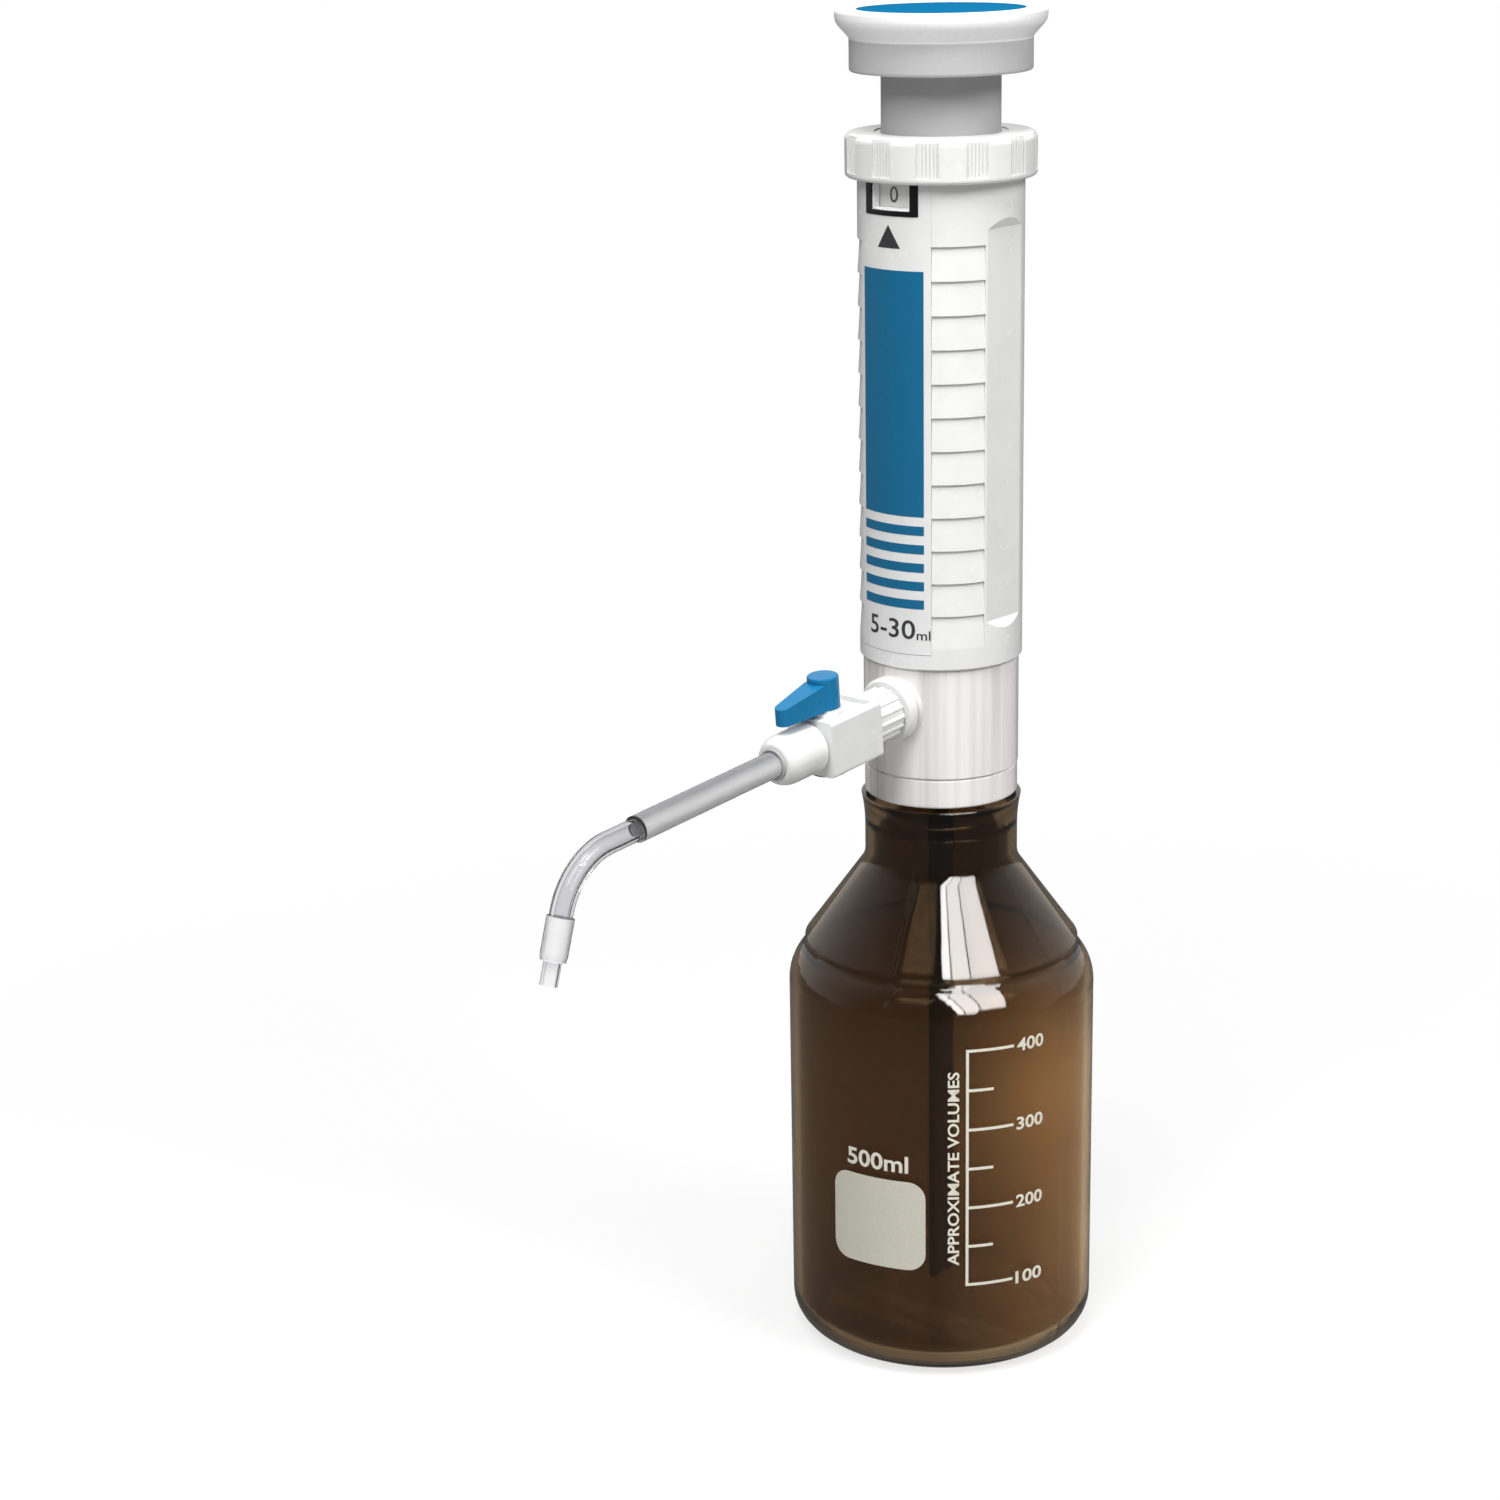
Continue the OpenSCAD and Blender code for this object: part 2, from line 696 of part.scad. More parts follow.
// Saw-tooth hollow of one grip zone, to be cut from the barrel
module grip_zone(from_angle, to_angle) {
  top = ring_z - grip_drop;
  lip_set = 0.02;
  steps = [for (i = [0:grip_n - 1], foot = [0, 1])
    [barrel_r - grip_d * (1 - foot) - lip_set * foot, top - (i + foot) * grip_pitch]];
  rotate([0, 0, from_angle - 90])
    rotate_extrude(angle = to_angle - from_angle)
      polygon(concat(
        [[barrel_r + over, top]],
        steps,
        [[barrel_r + over, top - grip_n * grip_pitch]]
      ));
}

// Finger flat on the +X side, with a short slope at each end, to be cut away
module side_flat() {
  slope = 2.5;
  flat_z = barrel_z + flat_foot;
  flat_top = ring_z - flat_drop;
  run_on = over / flat_d;
  rotate([90, 0, 0])
    linear_extrude(height = far, center = true)
      polygon([
        [barrel_r - flat_d, flat_z + slope], [barrel_r + over, flat_z - slope * run_on],
        [barrel_r + over, flat_top + slope * run_on], [barrel_r - flat_d, flat_top - slope]
      ]);
}

// Ribbed housing with finger flats, a bed for the front panel, a window and a snap groove
module barrel() {
  flat_edge = acos((barrel_r - flat_d) / barrel_r);
  flat_margin = 1.5;
  zone_lap = 1;
  edge = 0.4;
  color("white")
    difference() {
      rotate_extrude()
        polygon([
          [barrel_bore_r, barrel_z], [barrel_r - edge, barrel_z], [barrel_r, barrel_z + edge],
          [barrel_r, snap_z], [barrel_r - snap_d, snap_z], [barrel_r - snap_d, snap_z + snap_h],
          [barrel_r, snap_z + snap_h], [barrel_r - edge, barrel_top_z], [barrel_bore_r, barrel_top_z]
        ]);
      for (x = [0, 1])
        mirror([x, 0, 0]) {
          grip_zone(panel_half - zone_lap, 90 - flat_edge - flat_margin);
          side_flat();
        }
      shell_sector(panel_r, barrel_r + over, panel_z, frame_top_z + seam,
                   panel_half + gap_angle(seam / 3, barrel_r));
      shell_sector(barrel_bore_r - over, barrel_r, window_z + lens_ledge, window_top_z - lens_ledge,
                   window_half - gap_angle(lens_ledge, barrel_r));
    }
}

// Front panel in its bed, cut out round the window's frame
module front_panel() {
  color("white")
    difference() {
      shell_sector(inlay_r, barrel_r + panel_proud, panel_z + seam, frame_top_z, panel_half);
      shell_sector(panel_r - over, barrel_r + over, frame_z - seam, frame_top_z + over,
                   frame_half + gap_angle(seam / 3, barrel_r));
    }
}

// Dark frame round the window
module window_frame() {
  color("black")
    difference() {
      shell_sector(inlay_r, barrel_r + frame_proud, frame_z, frame_top_z, frame_half);
      shell_sector(panel_r - over, barrel_r + over, window_z, window_top_z, window_half);
    }
}

// Clear lens in the window's frame
module window_lens() {
  rim = seam / 3;
  color("aliceblue")
    shell_sector(inlay_r, inlay_r + lens_t, window_z + rim, window_top_z - rim,
                 window_half - gap_angle(rim, barrel_r));
}

// Tube round the plunger's sleeve, slotted so that the stop nut can only slide in it
module guide_tube() {
  color("lightgray")
    difference() {
      pipe(guide_r, guide_bore_r, spigot_z, guide_top_z);
      translate([-far / 2, -slot_w / 2, slot_z]) cube([far, slot_w, guide_top_z - slot_z + over]);
    }
}

// Nut that limits the plunger's lift, with two lugs through the guide tube's slots
module stop_nut() {
  lug_w = slot_w - 2 * run_gap;
  lug_r = sleeve_r + run_gap;
  color("goldenrod")
    union() {
      pipe(nut_r, nut_bore_r, nut_z, nut_z + nut_h);
      difference() {
        intersection() {
          translate([0, 0, nut_z]) cylinder(r = nut_r - set_gap, h = nut_h);
          translate([-far / 2, -lug_w / 2, nut_z]) cube([far, lug_w, nut_h]);
        }
        translate([0, 0, nut_z - over]) cylinder(r = lug_r, h = nut_h + 2 * over);
      }
    }
}

// Sleeve that turns with the volume ring and drives the stop nut
module setting_sleeve() {
  color("silver")
    pipe(setting_r, setting_bore_r, setting_z, ring_web_z);
}

// Drum behind the window
module number_drum() {
  color("white")
    pipe(drum_r, drum_bore_r, drum_z, ring_web_z);
}

// Ring that sets the dose: skirt with a snap lip, rounded edges, pockets with ridges that run out on top
module volume_ring() {
  lip_z = snap_z + run_gap;
  lip_top = snap_z + snap_h - run_gap;
  lip_r = barrel_r - snap_d + run_gap;
  web_bore_r = bush_r + set_gap;
  foot_round = 1.1;
  pocket_z = ring_z + pocket_lip;
  ridge_top = ring_top_z - ring_round / 2;
  ridge_step = pocket_angle / (ridge_n + 1);
  ridge_root = 0.1;
  color("white")
    union() {
      difference() {
        rotate_extrude()
          polygon(concat(
            [[ring_skirt_r, ring_z]],
            arc(ring_r - foot_round, ring_z + foot_round, foot_round, -90, 0, 4),
            arc(ring_r - ring_round, ring_top_z - ring_round, ring_round, 0, 90, 6),
            [[web_bore_r, ring_top_z], [web_bore_r, ring_web_z], [ring_skirt_r, ring_web_z],
             [ring_skirt_r, lip_top], [lip_r, lip_top], [lip_r, lip_z], [ring_skirt_r, lip_z]]
          ));
        for (i = [0:pocket_n - 1])
          shell_sector(ring_r - pocket_d, ring_r + over, pocket_z, ring_top_z + over,
                       pocket_angle / 2, i * 360 / pocket_n);
      }
      for (i = [0:pocket_n - 1], k = [1:ridge_n])
        rotate([0, 0, i * 360 / pocket_n - 90 - pocket_angle / 2 + k * ridge_step])
          translate([ring_r - pocket_d, 0, pocket_z - ridge_root])
            cylinder(r = ridge_r, h = ridge_top - pocket_z + ridge_root, $fn = 16);
    }
}

// Bush in the ring that guides the plunger's sleeve
module guide_bush() {
  color("lightgray")
    pipe(bush_r, bush_bore_r, ring_web_z, ring_top_z - 2 * seam);
}

// Flared head of the plunger, hollow underneath, with a bed for the coloured disc
module plunger_head() {
  edge_r = 0.8;
  flare_h = head_h - head_band_h - head_rim_h;
  flare_r = flare_h * 2 / 3;
  crease_r = flare_h / 6;
  band_wall = 2.2;
  socket_wall = 2.4;
  hollow_h = 6.4;
  bed_r = disc_r + set_gap;
  color("white")
    difference() {
      rotate_extrude()
        polygon(concat(
          [[0, head_z]],
          arc(head_r - edge_r, head_z + edge_r, edge_r, -90, 0, 4),
          arc(head_r + crease_r, head_z + head_band_h, crease_r, 180, 135, 3),
          arc(head_rim_r - flare_r, head_top_z - head_rim_h, flare_r, -45, 0, 5),
          arc(head_rim_r - edge_r, head_top_z - edge_r, edge_r, 0, 90, 4),
          [[bed_r, head_top_z], [bed_r, disc_z], [0, disc_z]]
        ));
      translate([0, 0, head_z - over]) cylinder(r = sleeve_r + set_gap, h = head_floor_z - head_z + over);
      pipe(head_r - band_wall, sleeve_r + socket_wall, head_z - over, head_z + hollow_h);
      translate([0, 0, head_z]) cylinder(r = screw_r + run_gap, h = head_h);
      translate([0, 0, screw_bed_z]) cylinder(r = screw_head_r + 2 * set_gap, h = head_h);
    }
}

// Coloured disc with a low dome, pressed in the head
module head_disc() {
  dome_r = (disc_r * disc_r + disc_dome * disc_dome) / (2 * disc_dome);
  dome_turn = asin(disc_r / dome_r);
  color("steelblue")
    rotate_extrude()
      polygon(concat(
        [[0, disc_z], [disc_r, disc_z]],
        arc(0, head_top_z + disc_dome - dome_r, dome_r, 90 - dome_turn, 90, 10)
      ));
}

// Sleeve under the head, with the flange that meets the stop nut
module plunger_sleeve() {
  color("whitesmoke")
    union() {
      pipe(sleeve_r, sleeve_bore_r, sleeve_z, head_floor_z);
      pipe(stop_r, sleeve_bore_r, sleeve_z, stop_top_z);
    }
}

// Rod between the head and the piston, drilled for the head's screw
module piston_rod() {
  drill_l = screw_l + drill_spare;
  color("whitesmoke")
    difference() {
      translate([0, 0, rod_z]) cylinder(r = rod_r, h = head_floor_z - rod_z);
      translate([0, 0, head_floor_z - drill_l]) cylinder(r = screw_r + set_gap, h = drill_l + over);
    }
}

// Screw that holds the rod in the head, under the disc
module rod_screw() {
  color("silver")
    union() {
      translate([0, 0, head_floor_z - screw_l])
        cylinder(r = screw_r, h = screw_bed_z - head_floor_z + screw_l + screw_head_h / 2);
      translate([0, 0, screw_bed_z]) cylinder(r = screw_head_r, h = screw_head_h);
    }
}

// Piston with a groove for its seal
module piston() {
  color("white")
    difference() {
      rotate_extrude()
        polygon([
          [0, piston_z], [piston_r - piston_chamfer, piston_z], [piston_r, piston_z + piston_chamfer],
          [piston_r, groove_z], [groove_r, groove_z], [groove_r, groove_z + groove_h],
          [piston_r, groove_z + groove_h], [piston_r, piston_top_z], [0, piston_top_z]
        ]);
      translate([0, 0, rod_z]) cylinder(r = rod_r + fit_gap, h = piston_h);
    }
}

// Seal ring in the piston's groove
module piston_seal() {
  seal_z = groove_z + set_gap;
  color("ghostwhite")
    pipe(bore_r - fit_gap, groove_r + set_gap, seal_z, seal_z + seal_h);
}

// Outlet with its flange, valve chamber and threaded front
module outlet_fitting() {
  flange_edge = 0.7;
  color("white")
    on_line()
      difference() {
        union() {
          translate([0, 0, shank_z]) cylinder(r = shank_r, h = flange_z - shank_z + over);
          soft_pipe(flange_r, outlet_seat_r / 2, flange_z, flange_end, flange_edge);
          translate([0, 0, flange_end - over])
            cylinder(r = nut_thread_r, h = fitting_end - flange_end + over);
        }
        rotate_extrude()
          polygon([
            [0, shank_z - over], [outlet_seat_r, shank_z - over], [outlet_seat_r, outlet_seat_z],
            [outlet_chamber_r, outlet_cone_z], [outlet_chamber_r, outlet_shelf_z],
            [line_bore_r, outlet_shelf_z], [line_bore_r, fitting_end + over], [0, fitting_end + over]
          ]);
      }
}

// Ball that lets liquid out to the tube
module outlet_ball() {
  color("linen")
    on_line()
      translate([0, 0, outlet_ball_z])
        sphere(r = outlet_ball_r);
}

// Spring that closes the outlet ball, one unbroken wire
module outlet_spring() {
  sides = 8;
  turn_steps = 20;
  steps = spring_turns * turn_steps;
  wire_r = wire_d / 2;
  coil_r = outlet_ball_r - set_gap - wire_r;
  rise = spring_l - seam - wire_d;
  wire = [for (i = [0:steps], k = [0:sides - 1])
    let (turn = 360 * i / turn_steps, side = 360 * k / sides, r = coil_r + wire_r * cos(side))
    [r * cos(turn), r * sin(turn), outlet_spring_z + wire_r + rise * i / steps + wire_r * sin(side)]];
  skin = [for (i = [0:steps - 1], k = [0:sides - 1], half = [0, 1])
    let (a = i * sides + k, b = i * sides + (k + 1) % sides)
    half == 0 ? [a, b, b + sides] : [a, b + sides, a + sides]];
  foot = [for (k = [1:sides - 2]) [0, k + 1, k]];
  end = [for (k = [1:sides - 2]) [steps * sides, steps * sides + k, steps * sides + k + 1]];
  echo(spring_gap = norm(wire[0] - wire[turn_steps * sides]) - wire_d);
  color("silver")
    on_line()
      polyhedron(points = wire, faces = concat(skin, foot, end));
}

// Flat seal inside the union nut
module union_seal() {
  color("gainsboro")
    on_line()
      pipe(nut_thread_r, line_bore_r + set_gap, fitting_end, tail_z);
}

// Ribbed nut that joins the stopcock to the outlet
module union_nut() {
  rib_r = 0.55;
  rib_margin = 0.5;
  body_r = union_r - rib_r;
  edge = 0.3;
  color("white")
    on_line()
      difference() {
        union() {
          soft_pipe(body_r, tail_r / 2, union_z, stopcock_z - seam, edge);
          for (i = [0:union_ribs - 1])
            rotate([0, 0, i * 360 / union_ribs])
              translate([body_r, 0, union_z + rib_margin])
                cylinder(r = rib_r, h = union_l - 2 * rib_margin - seam, $fn = 16);
        }
        translate([0, 0, union_z - over]) cylinder(r = union_bore_r, h = union_l - union_lip_t + over);
        translate([0, 0, union_z]) cylinder(r = tail_r + thread_gap, h = far);
      }
}

// Square with round corners
module round_square(side, corner_r) {
  inner = side - 2 * corner_r;
  square([side, inner], center = true);
  square([inner, side], center = true);
  for (x = [-1, 1], y = [-1, 1])
    translate([x * inner / 2, y * inner / 2])
      circle(r = corner_r, $fn = 32);
}

// Square stopcock body with a tail for the union, a thread for the nose nut, a boss and a pocket on top
module stopcock_body() {
  half = stopcock_w / 2;
  pocket_wall = 2;
  pocket_edge = 1.4;
  pocket_h = 1.4;
  pocket_l = plug_z - boss_r - stopcock_z - 2 * pocket_edge;
  color("white")
    on_line()
      difference() {
        union() {
          translate([0, 0, stopcock_z])
            linear_extrude(height = stopcock_l)
              round_square(stopcock_w, stopcock_edge_r);
          translate([0, half - over, plug_z])
            rotate([-90, 0, 0])
              cylinder(r = boss_r, h = boss_h + over);
          translate([0, 0, tail_z]) cylinder(r = tail_r, h = stopcock_z - tail_z + over);
          translate([0, 0, tail_z]) cylinder(r = nut_thread_r, h = tail_flange_t);
          translate([0, 0, stopcock_end - over]) cylinder(r = nose_thread_r, h = nose_thread_l + over);
        }
        translate([0, 0, tail_z - over]) cylinder(r = line_bore_r, h = far);
        translate([0, 0, plug_z])
          rotate([90, 0, 0])
            cylinder(r = plug_r + fit_gap, h = far, center = true);
        translate([pocket_wall - half, half - pocket_h, stopcock_z + pocket_edge])
          cube([stopcock_w - 2 * pocket_wall, far, pocket_l]);
      }
}

// Plug that opens or shuts the line, bored across
module stopcock_plug() {
  half = stopcock_w / 2;
  pin_foot = half + clip_t + plug_pin_h / 2;
  color("whitesmoke")
    on_plug()
      difference() {
        union() {
          translate([0, 0, -half]) cylinder(r = plug_r, h = half + plug_top);
          translate([0, 0, plug_top - over])
            cylinder(r = plug_stem_r, h = lever_z - plug_top + plug_stem_h + over);
          translate([0, 0, -pin_foot]) cylinder(r = plug_pin_r, h = plug_pin_h + clip_t);
        }
        rotate([90, 0, 0]) cylinder(r = line_bore_r, h = far, center = true);
      }
}

// Washer between the lever and the stopcock body's boss
module stopcock_washer() {
  washer_r = lever_hub_r + 2 * set_gap;
  color("gainsboro")
    on_plug()
      pipe(washer_r, plug_stem_r + set_gap, boss_top, boss_top + washer_t);
}

// Clip that keeps the plug in the stopcock body
module plug_clip() {
  clip_top = -stopcock_w / 2 - seam;
  color("silver")
    on_plug()
      pipe(clip_r, plug_pin_r + fit_gap, clip_top - clip_t, clip_top);
}

// Lever with a round hub and an arm that slopes down to its tip
module stopcock_lever() {
  hub_round = 0.5;
  arm_lap = 0.6;
  tip_end_r = lever_tip_w / 2;
  arm_end = lever_reach - tip_end_r;
  shoulder = lever_hub_r - arm_lap;
  arm_top = lever_top - lever_drop;
  color("dodgerblue")
    on_plug()
      difference() {
        union() {
          rotate_extrude()
            polygon(concat(
              [[0, lever_z], [lever_hub_r, lever_z]],
              arc(lever_hub_r - hub_round, lever_top - hub_round, hub_round, 0, 90, 4),
              [[0, lever_top]]
            ));
          intersection() {
            union() {
              translate([0, -arm_end, lever_z]) cylinder(r = tip_end_r, h = lever_hub_h, $fn = 32);
              translate([0, 0, lever_z])
                linear_extrude(height = lever_hub_h)
                  polygon([[-shoulder, 0], [shoulder, 0], [tip_end_r, -arm_end], [-tip_end_r, -arm_end]]);
            }
            rotate([90, 0, 90])
              linear_extrude(height = far, center = true)
                polygon([
                  [0, lever_z], [0, arm_top], [-shoulder, arm_top],
                  [-lever_reach, lever_z + lever_tip_h], [-lever_reach, lever_z]
                ]);
          }
        }
        translate([0, 0, lever_z - over])
          cylinder(r = plug_stem_r + set_gap, h = plug_stem_h + set_gap + over);
      }
}

// Rounded nut that holds the tube on the stopcock
module nose_nut() {
  taper_l = 5;
  taper_steps = 6;
  edge = 0.5;
  straight = nose_end - taper_l;
  taper = [for (i = [0:taper_steps]) let (a = 90 * i / taper_steps)
    [nose_front_r + (nose_r - nose_front_r) * cos(a), straight + taper_l * sin(a)]];
  tube_hole_r = sleeve_tube_r + set_gap;
  color("white")
    on_line()
      rotate_extrude()
        polygon(concat(
          [[nose_bore_r, nose_z], [nose_r - edge, nose_z], [nose_r, nose_z + edge]],
          taper,
          [[tube_hole_r, nose_end], [tube_hole_r, nose_step], [nose_bore_r, nose_step]]
        ));
}

// Clear outer sleeve that stiffens the tube
module tube_sleeve() {
  color("azure")
    on_line()
      pipe(sleeve_tube_r, sleeve_tube_bore_r, nose_step + seam, sleeve_tube_end);
}

// Bent discharge tube with a flared inner end and a narrow nozzle; forming leaves the bend a hair thicker
module discharge_tube() {
  formed = 0.04;
  color("azure")
    union() {
      on_line() pipe(tube_r, tube_bore_r, flare_z, bend_z);
      on_line() pipe(nose_thread_r - set_gap, tube_bore_r, flare_z, flare_z + flare_t);
      on_line()
        translate([0, -bend_r, bend_z])
          rotate([90, 0, 90])
            rotate_extrude(angle = bend_angle)
              translate([bend_r, 0])
                difference() {
                  circle(r = tube_r + formed);
                  circle(r = tube_bore_r - formed);
                }
      on_tip() pipe(tube_r, tube_bore_r, 0, tip_l);
      on_tip() pipe(nozzle_r, nozzle_r - nozzle_wall, tip_l - nozzle_seat, tip_end + nozzle_l);
    }
}

// Clear sleeve on the tip, tapered at its mouth
module tip_sleeve() {
  mouth_taper = 1.6;
  mouth_wall = 0.2;
  foot = tip_end - tip_sleeve_l;
  color("azure")
    on_tip()
      rotate_extrude()
        polygon([
          [tip_bore_r, foot], [tip_r, foot], [tip_r, tip_end - mouth_taper],
          [tip_bore_r + mouth_wall, tip_end], [tip_bore_r, tip_end]
        ]);
}

bottle();
bottle_gasket();
screw_collar();
valve_block();
valve_cover();
inlet_valve_seat();
inlet_ball();
inlet_cage();
dip_tube();
glass_cylinder();
cylinder_seal();
barrel();
front_panel();
window_frame();
window_lens();
guide_tube();
stop_nut();
setting_sleeve();
number_drum();
volume_ring();
guide_bush();
plunger_head();
head_disc();
plunger_sleeve();
piston_rod();
rod_screw();
piston();
piston_seal();
outlet_fitting();
outlet_ball();
outlet_spring();
union_seal();
union_nut();
stopcock_body();
stopcock_plug();
stopcock_washer();
plug_clip();
stopcock_lever();
nose_nut();
tube_sleeve();
discharge_tube();
tip_sleeve();
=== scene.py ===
"""Looks of a bottle top dispenser on its amber bottle: prints, thread, rings, finishes and stage."""

import json
import math
from functools import partial

import bmesh
import bpy
from bpy.props import FloatProperty, FloatVectorProperty, IntProperty, PointerProperty
from mathutils import Matrix, Vector


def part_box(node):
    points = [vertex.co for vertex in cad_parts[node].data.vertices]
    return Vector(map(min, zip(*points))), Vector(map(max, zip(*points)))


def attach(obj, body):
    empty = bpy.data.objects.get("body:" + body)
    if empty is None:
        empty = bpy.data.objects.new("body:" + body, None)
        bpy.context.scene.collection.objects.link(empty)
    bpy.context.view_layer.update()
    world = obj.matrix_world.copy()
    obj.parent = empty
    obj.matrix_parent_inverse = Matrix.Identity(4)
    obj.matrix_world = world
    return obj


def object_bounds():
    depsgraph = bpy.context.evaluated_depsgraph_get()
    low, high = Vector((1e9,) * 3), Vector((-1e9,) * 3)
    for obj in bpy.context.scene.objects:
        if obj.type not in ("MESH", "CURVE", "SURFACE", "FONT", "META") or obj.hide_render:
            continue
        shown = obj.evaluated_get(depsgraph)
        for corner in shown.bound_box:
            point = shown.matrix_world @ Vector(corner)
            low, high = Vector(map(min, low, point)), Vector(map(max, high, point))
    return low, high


bl_info = {
    "name": "Bottle Top Dispenser",
    "version": (1, 0, 0),
    "blender": (4, 5, 0),
    "location": "View3D > Sidebar > Dispenser",
    "description": "Adds prints, thread, rings, finishes and a stage to the packed dispenser",
    "category": "Object",
}

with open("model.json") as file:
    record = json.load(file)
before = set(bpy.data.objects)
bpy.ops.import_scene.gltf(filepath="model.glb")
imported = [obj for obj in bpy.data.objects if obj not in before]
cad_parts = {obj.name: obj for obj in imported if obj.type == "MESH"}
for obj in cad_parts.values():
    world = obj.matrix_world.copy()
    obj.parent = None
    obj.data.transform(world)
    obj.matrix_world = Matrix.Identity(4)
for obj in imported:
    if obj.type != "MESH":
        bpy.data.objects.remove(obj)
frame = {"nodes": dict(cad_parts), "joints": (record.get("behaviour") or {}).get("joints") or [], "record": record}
cad_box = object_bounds()

MM = 0.001
# Distance within which the points of a new piece are one
WELD = 0.0001 * MM


# Places read from the frame

def joint(name):
    """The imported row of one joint."""
    return next(row for row in frame["joints"] if row["name"] == name)


def radius_of(node):
    """Outer radius of a round CAD node on the dispenser's axis."""
    low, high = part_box(node)
    return (high.x - low.x) / 2


def reach(node, direction):
    """How far a CAD node reaches along a direction."""
    return max(v.co.dot(direction) for v in frame["nodes"][node].data.vertices)


RING_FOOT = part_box("volume_ring")[0].z
HEAD_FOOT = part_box("plunger_head")[0].z
PANEL_R = -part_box("front_panel")[0].y
BOTTLE_R = radius_of("bottle")
BOTTLE_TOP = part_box("bottle")[1].z
DRUM_R = radius_of("number_drum")
SLEEVE_R = radius_of("tube_sleeve")
TUBE_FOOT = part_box("discharge_tube")[0].z
LENS_LOW, LENS_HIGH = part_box("window_lens")
PLUG = Vector(joint("stopcock_turn")["pos_m"])
LINE_UP = Vector(joint("stopcock_turn")["axis"])
LINE_OUT = Vector((1, 0, 0)).cross(LINE_UP)


def line_end(node):
    """Frame at the front end of a node on the discharge line, with Z outward along the line."""
    place = PLUG + LINE_OUT * (reach(node, LINE_OUT) - PLUG.dot(LINE_OUT))
    turn = Matrix((Vector((1, 0, 0)), LINE_UP, LINE_OUT)).transposed()
    return Matrix.Translation(place) @ turn.to_4x4()


# Properties

def linear(hex_colour):
    """Linear colour of an sRGB hex value such as #F2F2F2."""
    parts = [int(hex_colour[i:i + 2], 16) / 255 for i in (1, 3, 5)]
    return tuple(p / 12.92 if p <= 0.04045 else ((p + 0.055) / 1.055) ** 2.4 for p in parts)


def length(name, description, mm):
    """A length property, given in millimetres."""
    return FloatProperty(name=name, description=description, default=mm * MM, unit="LENGTH", precision=5)


def angle(name, description, degrees):
    """An angle property, given in degrees."""
    return FloatProperty(name=name, description=description, default=math.radians(degrees), subtype="ANGLE")


def power(name, description, watts):
    """The power of a lamp, given in watts."""
    return FloatProperty(name=name, description=description, default=watts, unit="POWER")


def number(name, description, value):
    """A plain number."""
    return FloatProperty(name=name, description=description, default=value, precision=3)


def count(name, description, value):
    """A whole number of like things."""
    return IntProperty(name=name, description=description, default=value)


def colour(name, description, hex_colour):
    """A colour property, given as an sRGB hex value."""
    return FloatVectorProperty(name=name, description=description, default=linear(hex_colour),
                               subtype="COLOR", size=3, min=0, max=1)


